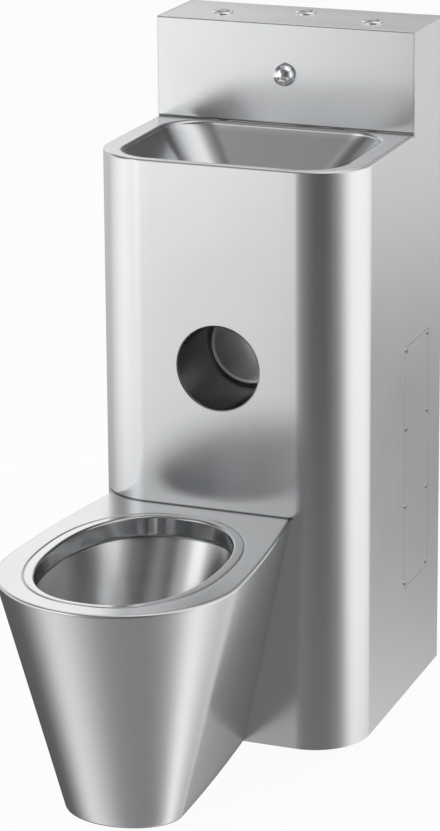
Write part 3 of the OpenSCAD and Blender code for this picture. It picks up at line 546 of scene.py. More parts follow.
def past_corner(dx, dy, radius):
    """Signed distance from a round corner, for a point that lies dx and dy past the corner's centre."""
    return math.hypot(max(dx, 0), max(dy, 0)) + min(max(dx, dy), 0) - radius


def round_box(x, y, half_w, half_l, radius):
    """Signed distance from a rectangle with round corners, negative inside."""
    return past_corner(abs(x) - (half_w - radius), abs(y) - (half_l - radius), radius)


def casing_distance(x, y):
    """Signed distance in plan from the casing's outside, whose back is open."""
    corner = sheet_sizes().corner_r
    return past_corner(abs(x) - (HALF_WIDTH - corner), (FRONT + corner) - y, corner)


def ray_ring(centre, angles, distance, z):
    """Points where rays from a centre leave a shape, at height z or at the height z gives for a point."""
    ring = []
    for angle in angles:
        dx, dy = math.cos(angle), math.sin(angle)
        near, far = 0.0, 1.0
        for _ in range(30):
            middle = (near + far) / 2
            if distance(centre[0] + dx * middle, centre[1] + dy * middle) < 0:
                near = middle
            else:
                far = middle
        x, y = centre[0] + dx * near, centre[1] + dy * near
        ring.append(Vector((x, y, z(x, y) if callable(z) else z)))
    return ring


def box_ring(centre, angles, half_w, half_l, radius, z):
    """Points on a rectangle with round corners about a centre."""
    return ray_ring(centre, angles,
                    lambda x, y: round_box(x - centre[0], y - centre[1], half_w, half_l, radius), z)


def ray_angles(centre, count, corners):
    """Even angles, with the angles of sharp corners put in."""
    angles = [math.tau * k / count for k in range(count)]
    for x, y in corners:
        aim = math.atan2(y - centre[1], x - centre[0]) % math.tau
        angles[nearest_to(angles, lambda angle: abs(angle - aim))] = aim
    return sorted(angles)


class CombiPiece:
    """What the operators of the unit share."""

    bl_options = {"REGISTER", "UNDO"}


class COMBI_OT_finishes(CombiPiece, bpy.types.Operator):
    """Make the finishes of the unit"""

    bl_idname = "combi.finishes"
    bl_label = "Finishes"

    def execute(self, context):
        colours = finish_colours()
        # The foot and joint copies of the satin steel carry lines of painted shade where parts meet
        for name, joint in (("tall", None), ("foot", self.panel_foot_shadow), ("joint", self.plate_joint_shadow)):
            metal("satin_" + name, colours.satin, 0.24, "z", brushed=0.30, turned=0.0, joint=joint)
        metal("satin_across", colours.satin, 0.25, "x")
        metal("satin_deep", colours.satin, 0.25, "y")
        metal("bowl_round", colours.bowl, 0.24, "xy", spread=0.08, brushed=0.7)
        metal("mill", colours.mill, 0.36, spread=0.10, contrast=0.07)
        metal("polished", colours.polished, 0.10, "xy", spread=0.03, contrast=0.02)
        # The ring's steel is a darker copy of the polished steel, painted shade for its dark reflections
        metal("ring_steel_painted_shade", shade(colours.polished, 0.68), 0.09, "xy", spread=0.03, contrast=0.02)
        # The recess wall is a darker copy of the steel, painted shade
        metal("recess_wall_painted_shade", shade(colours.recess, 0.68), 0.20, "xz", spread=0.04, contrast=0.02)
        # The back disc of the recess is a lighter copy of the steel, a painted highlight
        metal("recess_disc_painted_light", shade(colours.disc, 1.13), 0.36, "xz", spread=0.04, contrast=0.02)
        metal("chrome", colours.chrome, 0.045, spread=0.02, contrast=0.01, relief=0.00001)
        # The button caps take a darker copy of the chrome, painted shade for the dark reflections on their
        # domes
        metal("cap_chrome_painted_shade", shade(colours.chrome, 0.5), 0.06, spread=0.02, contrast=0.01, relief=0.00001)
        metal("brass", colours.brass, 0.28, spread=0.12, contrast=0.08)
        metal("copper", colours.copper, 0.30, "z", spread=0.12, contrast=0.10)
        metal("spring", colours.mill, 0.22, spread=0.08)
        moulded("rubber", colours.rubber, 0.62, 2500.0)
        moulded("plastic", colours.plastic, 0.32, 1500.0, coat=0.2)
        moulded("red_dip", colours.red, 0.34, 900.0, coat=0.4)
        moulded("blue_dip", colours.blue, 0.34, 900.0, coat=0.4)
        return {"FINISHED"}

    def panel_foot_shadow(self, net):
        """0 in a line of painted shade between the deck and the upstand, 1 above it."""
        return net.rising("Z", RIM + 0.0016, RIM + 0.0038)

    def plate_joint_shadow(self, net):
        """0 in a line of painted shade where the pan's top plate meets the casing, 1 elsewhere."""
        left, right = PAN_X - pan_sizes().root, PAN_X + pan_sizes().root
        above_line = net.rising("Z", PAN_TOP + 0.0006, PAN_TOP + 0.0028)
        line = net.rising("Z", PAN_TOP - 0.003, PAN_TOP) * (1 - above_line)
        across = net.rising("X", left - 0.004, left) * (1 - net.rising("X", right, right + 0.004))
        return 1 - line * across * (1 - net.rising("Y", FRONT + 0.04, FRONT + 0.05))


class COMBI_OT_casing(CombiPiece, bpy.types.Operator):
    """Casing sheet with its two round corners, flanges and openings"""

    bl_idname = "combi.casing"
    bl_label = "Casing"

    def execute(self, context):
        sheet = sheet_sizes()
        outline = self.half_outline(sheet)
        outline = [(-x, y) for x, y in reversed(outline)][:-1] + outline
        deck = RIM - sheet.deck_edge
        heights = [0.0, 0.17, 0.355, 0.46, 0.65, deck, SHELF]
        rings = [[Vector((x, y, z)) for x, y in outline] for z in heights]
        case = skin("casing", rings, closed=False)
        with editing(case) as work:
            above = [face for face in work.faces if face.calc_center_median().z > deck
                     and face.calc_center_median().y < UPSTAND]
            bmesh.ops.delete(work, geom=above, context="FACES")
        thicken(case, sheet.gauge, lambda point: Vector((point.x, point.y + abs(FRONT) / 2, 0)))
        lip = RECESS_R - sheet.recess_flange - sheet.gauge + sheet.recess_lip
        cut(case,
            rod((0, FRONT, RECESS_Z), (0, 1, 0), lip + sheet.seam, CUTTER_HALF),
            self.hatch_cutter(sheet.hatch_r),
            rod((PAN_X, FRONT, WASTE_Z), (0, 1, 0), WASTE_R + PIPE_GAP, CUTTER_HALF),
            rod((0, FRONT, FLUSH_LOW.z + FLUSH_R), (0, 1, 0), FLUSH_R + PIPE_GAP, CUTTER_HALF))
        for x in (-1, 1):
            for z in FIXING_HEIGHTS:
                self.fixing_hole(case, sheet, (x, 0, z), (0, 1, 0))
        # satin_joint has a line of painted shade on the casing along the pan's top plate
        dress(case, "satin_joint", ["cabinet_shell"], edge=sheet.soften)
        self.floor_flanges(sheet)
        return {"FINISHED"}

    def half_outline(self, sheet):
        """Right half of the outside in plan, from the middle of the front to the end of the wall flange."""
        corner = sheet.corner_r
        points = [(x * (HALF_WIDTH - corner) / 4, FRONT) for x in range(4)]
        points += [(HALF_WIDTH - corner + x, FRONT + corner + y) for x, y in arc(corner, -90, 0, 28)]
        points += [(HALF_WIDTH, y) for y in (-0.25, -0.19, UPSTAND, -0.07)]
        bend = sheet.wall_bend
        points += [(HALF_WIDTH - bend + x, -bend + y) for x, y in arc(bend, 0, 90, 6)]
        points.append((HALF_WIDTH - sheet.flange, 0.0))
        return points

    def fixing_hole(self, piece, sheet, place, axis):
        """Drills the middle of a flange; place has the side, -1 or 1, in the place of x."""
        side, y, z = place
        cut(piece, rod((side * (HALF_WIDTH - sheet.flange / 2), y, z), axis, FIXING_R, CUTTER_HALF / 2, 32))

    def hatch_cutter(self, radius):
        """A block with round corners that cuts the hatch opening."""
        y, z = (HATCH_LOW.y + HATCH_HIGH.y) / 2, (HATCH_LOW.z + HATCH_HIGH.z) / 2
        reach_y, reach_z = y - HATCH_LOW.y + HATCH_GAP - radius, z - HATCH_LOW.z + HATCH_GAP - radius
        loop = [(y + side_y * reach_y + dy, z + side_z * reach_z + dz)
                for side_y, side_z, start in ((1, 1, 0), (-1, 1, 90), (-1, -1, 180), (1, -1, 270))
                for dy, dz in arc(radius, start, start + 90, 6)]
        sides = (HATCH_HIGH.x - CUTTER_HALF, HATCH_HIGH.x + CUTTER_HALF)
        return closed(skin("cutter", [[Vector((x, y, z)) for y, z in loop] for x in sides]))

    def floor_flanges(self, sheet):
        """Flanges on the floor inside the two sides, with their fixing holes."""
        for x in (-1, 1):
            low, high = FRONT + sheet.corner_r, -0.004
            inner, outer = HALF_WIDTH - sheet.flange, HALF_WIDTH - sheet.gauge - 0.0001
            loop = [(inner, low), (outer, low), (outer, high), (inner, high)]
            rings = [[Vector((x * across, along, z)) for across, along in loop] for z in (0.0, sheet.gauge)]
            flange = closed(skin("floor_flange_left" if x < 0 else "floor_flange_right", rings))
            for y in FLOOR_FIXINGS:
                self.fixing_hole(flange, sheet, (x, y, 0), (0, 0, 1))
            dress(flange, "satin_deep", edge=sheet.soften / 2)


class COMBI_OT_upstand(CombiPiece, bpy.types.Operator):
    """Front of the upstand and its shelf, one bent sheet"""

    bl_idname = "combi.upstand"
    bl_label = "Upstand"

    def execute(self, context):
        sheet = sheet_sizes()
        bend = sheet.panel_bend
        profile = [(UPSTAND, RIM + HAIR), (UPSTAND, RIM + 0.05), (UPSTAND, SHELF - 0.05)]
        profile += [(UPSTAND + bend + x, SHELF - bend + z) for x, z in arc(bend, 180, 90, 8)]
        profile += [(-0.10, SHELF), (-0.03, SHELF), (-0.0005, SHELF)]
        edge = HALF_WIDTH - sheet.gauge - sheet.seam
        places = [edge * k / 6 for k in range(-6, 7)]
        rings = [[Vector((x, y, z)) for y, z in profile] for x in places]
        panel = skin("upstand_panel", rings, closed=False)
        thicken(panel, sheet.gauge, lambda point: Vector((0, -1, 1)))
        # satin_foot has a line of painted shade along the panel's foot, where it meets the deck
        dress(panel, "satin_foot", ["splash_panel"], edge=sheet.soften)
        return {"FINISHED"}


class COMBI_OT_basin(CombiPiece, bpy.types.Operator):
    """Deck with its rolled opening and the bowl"""

    bl_idname = "combi.basin"
    bl_label = "Basin"

    def execute(self, context):
        sheet, bowl = sheet_sizes(), bowl_sizes()
        centre = (0.0, FRONT + bowl.rim + bowl.half_l)
        back = UPSTAND + bowl.lip
        tuck = HALF_WIDTH - sheet.gauge - sheet.seam
        places = ((HALF_WIDTH, UPSTAND - 2 * HAIR), (tuck, UPSTAND), (tuck, back))
        corners = [(side * x, y) for side in (1, -1) for x, y in places]
        angles = ray_angles(centre, 288, corners)
        rings = []
        for beta in (90, 70, 50, 30, 10, 0):
            inset = sheet.deck_edge * (1 - math.sin(math.radians(beta)))
            drop = sheet.deck_edge * (1 - math.cos(math.radians(beta)))

            def deck(x, y, inset=inset):
                side = abs(x) - (HALF_WIDTH - inset if y < UPSTAND - HAIR else tuck)
                return max(casing_distance(x, y) + inset, side, y - back)

            rings.append(ray_ring(centre, angles, deck,
                                  lambda x, y, drop=drop: RIM - (drop if y < UPSTAND - HAIR else 0)))
        outside, inside = rings[-1], self.opening(centre, angles, bowl, 1.0, 0.0)
        for share in (0.35, 0.7):
            rings.append([start.lerp(end, share) for start, end in zip(outside, inside)])
        for beta in (0, 15, 30, 45, 60, 75, 90):
            out = 1 - math.sin(math.radians(beta))
            drop = bowl.roll * (1 - math.cos(math.radians(beta)))
            rings.append(self.opening(centre, angles, bowl, out, drop))
        rings += self.walls(centre, angles, bowl)
        tray = skin("basin_bowl", rings)
        deck_low, upwards = RIM - 0.01, Vector((0, 0, 1))
        thicken(tray, sheet.gauge,
                lambda point: Vector((0, centre[1] - point.y, 0.05)) if point.z < deck_low else upwards)
        dress(tray, "satin_across", ["basin"], angle=60)
        return {"FINISHED"}

    def opening(self, centre, angles, bowl, out, drop):
        """Ring on the rolled edge, out rolls from the wall and dropped below the deck."""
        sizes = (size + bowl.roll * out for size in (bowl.half_w, bowl.half_l, bowl.corner_r))
        return box_ring(centre, angles, *sizes, RIM - drop)

    def walls(self, centre, angles, bowl):
        """Rings down the sloping wall, round the edge and over the floor to the drain."""
        floor = RIM - bowl.depth
        knee = floor + bowl.edge_r
        sections = []
        for share in (k / 12 for k in range(1, 13)):
            sections.append((bowl.half_w + (bowl.floor_w + bowl.edge_r - bowl.half_w) * share,
                             bowl.half_l + (bowl.floor_l + bowl.edge_r - bowl.half_l) * share,
                             bowl.corner_r + (bowl.floor_r + bowl.edge_r - bowl.corner_r) * share,
                             (RIM - bowl.roll) + (knee - RIM + bowl.roll) * share))
        for turn in (75, 60, 45, 30, 15, 0):
            out = bowl.edge_r * math.sin(math.radians(turn))
            sections.append((bowl.floor_w + out, bowl.floor_l + out, bowl.floor_r + out,
                             floor + bowl.edge_r * (1 - math.cos(math.radians(turn)))))
        rings = [box_ring(centre, angles, *section) for section in sections]
        edge = rings[-1]
        radius, low = bowl.drain_r, floor - 0.0002
        drain = [Vector((radius * math.cos(angle), DRAIN_Y + radius * math.sin(angle), low))
                 for angle in angles]
        for share in (0.3, 0.6, 0.85, 1.0):
            rings.append([start.lerp(end, share) for start, end in zip(edge, drain)])
        return rings


class COMBI_OT_recess(CombiPiece, bpy.types.Operator):
    """Drawn recess for a paper roll, with painted shade on its wall and a painted highlight on its back"""

    bl_idname = "combi.recess"
    bl_label = "Roll recess"

    def execute(self, context):
        sheet = sheet_sizes()
        wall = RECESS_R - sheet.recess_flange - sheet.gauge
        back = RECESS_HIGH.y - sheet.gauge - FRONT
        lip, round_r = sheet.recess_lip, sheet.recess_fillet
        clear = 0.0001
        profile = [(RECESS_R, sheet.gauge + clear), (wall + lip + clear, sheet.gauge + clear)]
        profile += [(wall + lip - x, lip - y) for x, y in arc(lip, 90, 0, 6)]
        profile += [(wall, share * (back - round_r)) for share in (0.15, 0.4, 0.7, 0.9)]
        profile += [(wall - round_r + x, back - round_r + y) for x, y in arc(round_r, 0, 90, 10)]
        profile += [(wall * share, back + 0.0006 * (1 - share)) for share in (0.6, 0.3, 0.06, 0.0005)]
        cup = lathe("roll_cup", profile, (0, FRONT, RECESS_Z), (0, 1, 0), 128, last=True)
        thicken(cup, sheet.gauge, lambda point: Vector((-point.x, -0.03, RECESS_Z - point.z)))
        dress(cup, "recess_wall_painted_shade", ["roll_recess"], angle=50)
        # The back of the recess takes the lighter material, a painted highlight
        cup.data.materials.append(bpy.data.materials["recess_disc_painted_light"])
        painted_light_from = FRONT + back - round_r * 0.3
        for face in cup.data.polygons:
            if face.center.y > painted_light_from:
                face.material_index = 1
        return {"FINISHED"}


class COMBI_OT_pan(CombiPiece, bpy.types.Operator):
    """Skirt, top plate, polished ring and bowl of the pan"""

    bl_idname = "combi.pan"
    bl_label = "Pan"

    SIDE_STEPS = 26
    NOSE_STEPS = 28
    OVAL_STEPS = 192
    # Width of the skirt's flat edge, from its roll to the top plate
    TURN_IN = 0.0015

    def execute(self, context):
        pan, sheet = pan_sizes(), sheet_sizes()
        self.nose = FRONT - pan.reach - TOP_LOW.y
        self.skirt(pan, sheet)
        self.top(pan, sheet)
        self.ring(pan, sheet)
        self.bowl(sheet)
        return {"FINISHED"}

    def half_width(self, share, forward):
        """Half width at a distance in front of the cabinet; share is 0 at the foot and 1 at the top."""
        pan = pan_sizes()
        root = pan.foot_root + (pan.root - pan.foot_root) * share
        half = pan.foot_half + (pan.half - pan.foot_half) * share
        reach = self.reach(share)
        return half - (half - root) * max(0.0, (reach - forward) / reach) ** pan.curve

    def reach(self, share):
        """Distance of the widest line from the cabinet."""
        pan = pan_sizes()
        return pan.foot_reach + (pan.reach - pan.foot_reach) * share

    def column_ring(self, share, z, inset=0.0):
        """The outline at a height, open at the cabinet: left side, nose, right side."""
        pan = pan_sizes()
        half = pan.foot_half + (pan.half - pan.foot_half) * share
        nose = pan.foot_nose + (self.nose - pan.foot_nose) * share
        widest = self.reach(share)
        left, right = (self.side(share, x, inset) for x in (-1, 1))
        front = []
        for k in range(1, 2 * self.NOSE_STEPS):
            theta = math.radians(-90 + 90 * k / self.NOSE_STEPS)
            phi = math.atan2(math.sin(theta) * half, math.cos(theta) * nose)
            front.append(((half - inset) * math.sin(phi), widest + (nose - inset) * math.cos(phi)))
        return [Vector((PAN_X + x, FRONT - forward, z)) for x, forward in left + front + right[::-1]]

    def side(self, share, x, inset):
        """Points of one side, -1 or 1, from the casing to the widest line."""
        first = self.meets_casing(share, x)
        stretch = self.reach(share) - first
        steps = [first + stretch * k / self.SIDE_STEPS for k in range(self.SIDE_STEPS + 1)]
        return [(x * (self.half_width(share, forward) - inset), forward) for forward in steps]

    def meets_casing(self, share, side):
        """Distance in front of the cabinet where a side meets the casing; below 0 round a corner."""
        low, high = -0.08, 0.02
        for _ in range(40):
            middle = (low + high) / 2
            x = PAN_X + side * self.half_width(share, middle)
            if casing_distance(x, FRONT - middle) < HAIR:
                low = middle
            else:
                high = middle
        return high

    def skirt(self, pan, sheet):
        """Conical skirt, with the foot turned inwards and the top rolled over to the plate."""
        rings = [self.column_ring(0, 0.0, pan.foot_flange), self.column_ring(0, 0.0, 0.003),
                 self.column_ring(0.003, 0.0008, 0.0008), self.column_ring(0.008, 0.003)]
        knee = PAN_TOP - pan.edge
        heights = (0.02, 0.06, 0.12, 0.18, 0.24, 0.30, 0.33, knee - 0.004)
        rings += [self.column_ring(z / PAN_TOP, z) for z in heights]
        for x, z in arc(pan.edge, 0, 90, 7):
            rings.append(self.column_ring((knee + z) / PAN_TOP, knee + z, pan.edge - x))
        rings.append(self.column_ring(1, PAN_TOP, pan.edge + self.TURN_IN))
        shell = skin("pan_skirt", rings, closed=False)
        thicken(shell, sheet.gauge,
                lambda point: Vector((point.x - PAN_X, point.y - MOUTH.y, -0.02 if point.z < 0.01 else 0.02)))
        dress(shell, "satin_tall", ["pan_shroud"], angle=60)

    def plate_distance(self, x, y, inset):
        """Signed distance, near the edge, from the outline of the top plate."""
        pan = pan_sizes()
        forward = FRONT - y
        if forward > pan.reach:
            half, nose = pan.half - inset, self.nose - inset
            reach = math.hypot((x - PAN_X) / half, (forward - pan.reach) / nose)
            side = (reach - 1) * min(half, nose)
        else:
            side = abs(x - PAN_X) - (self.half_width(1, forward) - inset)
        return max(side, 0.0004 - casing_distance(x, y))

    def oval_ring(self, half, long, z, centre=MOUTH):
        """Points on a full oval round a centre."""
        power = 2 / pan_sizes().oval
        ring = []
        for k in range(self.OVAL_STEPS):
            turn = math.tau * k / self.OVAL_STEPS
            across, along = math.cos(turn), math.sin(turn)
            ring.append(Vector((centre[0] + half * math.copysign(abs(across) ** power, across),
                                centre[1] + long * math.copysign(abs(along) ** power, along), z)))
        return ring

    def groove_side(self, pan):
        """(Distance from the middle of the groove, depth) down one side of the groove round the ring."""
        half = pan.groove
        return [(2.2 * half, 0.0), (1.5 * half, 0.0002), (half, 0.0006), (0.9 * half, pan.groove_depth)]

    def top(self, pan, sheet):
        """Top plate between the skirt's roll and the groove round the ring."""
        inner = self.oval_ring(RING_HALF, RING_LEN, PAN_TOP)
        angles = [math.atan2(point.y - MOUTH.y, point.x - MOUTH.x) for point in inner]
        inset = pan.edge + self.TURN_IN
        outer = ray_ring(MOUTH, angles, lambda x, y: self.plate_distance(x, y, inset), PAN_TOP)
        self.snap_corners(outer, inset)
        rings = [outer]
        for share in (0.3, 0.6):
            rings.append([start.lerp(end, share) for start, end in zip(outer, inner)])
        for out, drop in self.groove_side(pan):
            rings.append(self.oval_ring(RING_HALF + out, RING_LEN + out, PAN_TOP - drop))
        plate = skin("pan_plate", rings)
        thicken(plate, sheet.gauge, lambda point: Vector((0, 0, 1)))
        dress(plate, "satin_deep", ["pan_top"], angle=50)

    def snap_corners(self, ring, inset):
        """Moves the nearest point of a ring onto each corner where the plate meets the cabinet."""
        for side in (-1, 1):
            forward = self.meets_casing(1, side)
            x = PAN_X + side * (self.half_width(1, forward) - inset)
            corner = Vector((x, FRONT - forward - 0.0002, PAN_TOP))
            ring[nearest_to(ring, lambda point: (point - corner).length)] = corner

    def ring(self, pan, sheet):
        """Polished ring with its skirt in the opening."""
        roll = pan.ring_roll
        half, long = RING_HALF - pan.ring_w, RING_LEN - pan.ring_l
        rings = [self.oval_ring(RING_HALF - out, RING_LEN - out, PAN_TOP - drop)
                 for out, drop in reversed(self.groove_side(pan))]
        rings.append(self.oval_ring(half + 2 * roll, long + 2 * roll, PAN_TOP))
        for x, z in arc(roll, 90, 0, 8):
            rings.append(self.oval_ring(half + roll - x, long + roll - x, PAN_TOP - roll + z))
        low = PAN_TOP - pan.skirt
        for share in (0.3, 0.6, 0.85):
            rings.append(self.oval_ring(half, long, PAN_TOP - roll - (pan.skirt - roll) * share))
        rings.append(self.oval_ring(half, long, low + 0.001))
        rings.append(self.oval_ring(half + 0.0006, long + 0.0006, low))
        collar = skin("pan_ring", rings)
        thicken(collar, sheet.gauge, lambda point: Vector((MOUTH.x - point.x, MOUTH.y - point.y, 0.05)))
        # The ring's finish is darkened as painted shade
        dress(collar, "ring_steel_painted_shade", ["rim_ring"], angle=50)

    def bowl(self, sheet):
        """Brushed bowl under the ring, smooth from its flange to the sump."""
        lip_z = CHANNEL_LOW.z
        half, long = (CHANNEL_HIGH.x - CHANNEL_LOW.x) / 2, (RING_LEN + 0.003)
        # Height, half width, half length and distance from the cabinet of the sections
        sections = [(0.025, 0.042, 0.052, 0.187), (0.045, 0.050, 0.061, 0.192),
                    (0.075, 0.060, 0.073, 0.200), (0.110, 0.072, 0.089, 0.211),
                    (0.170, 0.096, 0.117, 0.229), (0.240, 0.118, 0.151, 0.231),
                    (lip_z, half - 0.009, long - 0.0045, FRONT - MOUTH.y)]
        rings = [self.oval_ring(half - 0.0005, long - 0.0005, lip_z),
                 self.oval_ring(half - 0.006, long - 0.0035, lip_z)]
        steps = 40
        for k in range(steps + 1):
            z = lip_z - (lip_z - sections[0][0]) * k / steps
            half_w, half_l, forward = (self.eased(sections, z, column) for column in (1, 2, 3))
            rings.append(self.oval_ring(half_w, half_l, z, (PAN_X, FRONT - forward)))
        z, half_w, half_l, forward = sections[0]
        for share, rise in ((0.9, 0.0007), (0.6, 0.0002), (0.25, 0.0), (0.01, 0.0)):
            rings.append(self.oval_ring(half_w * share, half_l * share, z + rise, (PAN_X, FRONT - forward)))
        hollow = skin("pan_hollow", rings, last=True)
        thicken(hollow, sheet.gauge, lambda point: Vector((PAN_X - point.x, MOUTH.y - point.y, 0.05)))
        pipe = (TRAP_HIGH.x - TRAP_LOW.x) / 2
        cut(hollow, rod((PAN_X, TRAP_LOW.y, TRAP_LOW.z + pipe), (0, 1, 0), pipe + HAIR, 0.03))
        dress(hollow, "bowl_round", ["pan_bowl", "pan_sump"], angle=50)

    def eased(self, sections, z, column):
        """Smooth value between the sections at a height, a cubic from the two on each side of it."""
        last = len(sections) - 1
        k = max(i for i in range(last) if sections[i][0] <= z + 1e-9)
        near = [sections[min(max(i, 0), last)] for i in (k - 1, k, k + 1, k + 2)]
        heights, sizes = [section[0] for section in near], [section[column] for section in near]
        slope_low = (sizes[2] - sizes[0]) / max(heights[2] - heights[0], 1e-6)
        slope_high = (sizes[3] - sizes[1]) / max(heights[3] - heights[1], 1e-6)
        step = heights[2] - heights[1]
        t = (z - heights[1]) / step
        return ((2 * t**3 - 3 * t**2 + 1) * sizes[1] + (t**3 - 2 * t**2 + t) * step * slope_low
                + (3 * t**2 - 2 * t**3) * sizes[2] + (t**3 - t**2) * step * slope_high)


class COMBI_OT_spout(CombiPiece, bpy.types.Operator):
    """Chrome dome spout with its outlet"""

    bl_idname = "combi.spout"
    bl_label = "Spout"

    OUTLET_R = 0.006
    OUTLET_TILT = 35

    def execute(self, context):
        low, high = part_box("spout")
        radius, reach = high.x, UPSTAND - low.y
        centre = Vector((0, UPSTAND, (low.z + high.z) / 2))
        shank_r, shank, seat = 0.010, 0.040, -0.0002
        profile = [(shank_r, -shank), (shank_r, seat), (radius - 0.0008, seat), (radius, 0.0006)]
        profile += dome(radius, reach, reach, 40, first=2) + [(TIP, reach)]
        body = closed(lathe("spout_dome", profile, centre, (0, -1, 0), 128, last=True))
        tilt = math.radians(self.OUTLET_TILT)
        along = Vector((0, -math.sin(tilt), -math.cos(tilt)))
        mouth = centre + Vector((0, -reach * 0.3, 0))
        cut(body, rod(mouth + along * 0.012, along, self.OUTLET_R, 0.010, 48))
        dress(body, "chrome", ["spout"], edge=0.0004, angle=35)
        return {"FINISHED"}


class COMBI_OT_buttons(CombiPiece, bpy.types.Operator):
    """Three push buttons with their rings"""

    bl_idname = "combi.buttons"
    bl_label = "Buttons"

    CAP_RISE = 0.004
    BEZEL_R = 0.0155
    BORE_R = 0.01255

    def execute(self, context):
        for who in BUTTONS:
            low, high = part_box(who + "_button")
            centre = Vector(((low.x + high.x) / 2, (low.y + high.y) / 2, 0))
            self.cap(who, low, high, centre)
            self.bezel(who, centre)
        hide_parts("button_rings")
        return {"FINISHED"}

    def cap(self, who, low, high, centre):
        """A domed cap with a small bevel round its foot."""
        radius = (high.x - low.x) / 2
        bevel = 0.0004
        shoulder = high.z - self.CAP_RISE - bevel / 2
        profile = [(radius - bevel, low.z), (radius, low.z + bevel), (radius, shoulder)]
        profile += dome(radius, self.CAP_RISE, high.z, 24) + [(TIP, high.z)]
        cap = closed(lathe(who + "_cap", profile, centre, (0, 0, 1), last=True))
        # The caps' chrome is darkened as painted shade
        dress(cap, "cap_chrome_painted_shade", [who + "_button"], body=who + "_press", angle=35)

    def bezel(self, who, centre):
        """A turned ring with a bevelled shoulder, seated on the shelf."""
        low, high = (corner.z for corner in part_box("button_rings"))
        outer, inner, bevel = self.BEZEL_R, self.BORE_R, 0.0008
        profile = [(inner, low), (outer, low), (outer, low + 0.0012),
                   (outer - bevel, high - 0.0003), (outer - 2 * bevel, high),
                   (inner + bevel / 2, high), (inner, high - bevel / 2), (inner, low)]
        ring = lathe(who + "_bezel", profile, centre, (0, 0, 1))
        with editing(ring) as work:
            bmesh.ops.remove_doubles(work, verts=work.verts, dist=0.00001)
            bmesh.ops.recalc_face_normals(work, faces=work.faces)
        return dress(ring, "chrome", angle=25)


class COMBI_OT_fittings(CombiPiece, bpy.types.Operator):
    """Finishes of the pieces that stay as they were built, and own meshes for the springs"""

    bl_idname = "combi.fittings"
    bl_label = "Fittings"

    KEPT = {
        "satin_tall": ["hatch_cover"],
        "mill": ["lower_rail", "upper_rail", "hatch_frame", "flush_channel", "pan_trap", "waste_pipe"],
        "chrome": ["hatch_screws", "flush_pipe", "bottle_trap", "trap_cup", *each("_stop_ball")],
        "polished": ["strainer"],
        "rubber": ["waste_seal", "flush_sleeve", "drain_washer"],
        "plastic": ["drain_pipe", "spout_insert"],
        "brass": ["drain_nut", "spout_nut", "spout_tee", "locknuts",
                  *each("_valve"), *each("_stem"), *each("_stop_valve")],
        "copper": ["hot_link", "cold_link", "inlet_bends", *each("_feed")],
        "spring": each("_spring"),
        "red_dip": ["hot_stop_lever"],
        "blue_dip": ["cold_stop_lever", "flush_stop_lever"],
    }
    # Widths of the rounds on sharp edges
    ROUNDS = {
        0.0002: ["hatch_screws"],
        0.0003: ["hatch_cover", "hatch_frame"],
        0.0004: ["strainer"],
        0.0005: ["lower_rail", "upper_rail", "spout_nut", "locknuts", "waste_pipe"],
        0.0006: ["drain_nut", *each("_stop_lever")],
    }

    def execute(self, context):
        rounds = {node: width for width, nodes in self.ROUNDS.items() for node in nodes}
        for material, nodes in self.KEPT.items():
            for node in nodes:
                keep(node, material, rounds.get(node, 0.0))
        for who in BUTTONS:
            self.compress(who + "_spring", who + "_push")
        return {"FINISHED"}

    def compress(self, spring, push):
        """Gives a return spring a mesh of its own, after working out its button's stroke and its lower end.
        """
        stroke = next(joint["range_m"][1] for joint in frame["joints"] if joint["name"] == push)
        low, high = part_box(spring)
        free = high.z - low.z
        foot = ((low.x + high.x) / 2, (low.y + high.y) / 2, low.z)
        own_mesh(frame["nodes"][spring], push, axis=(0, 0, 1), anchor=foot, keep=(free - stroke) / free)


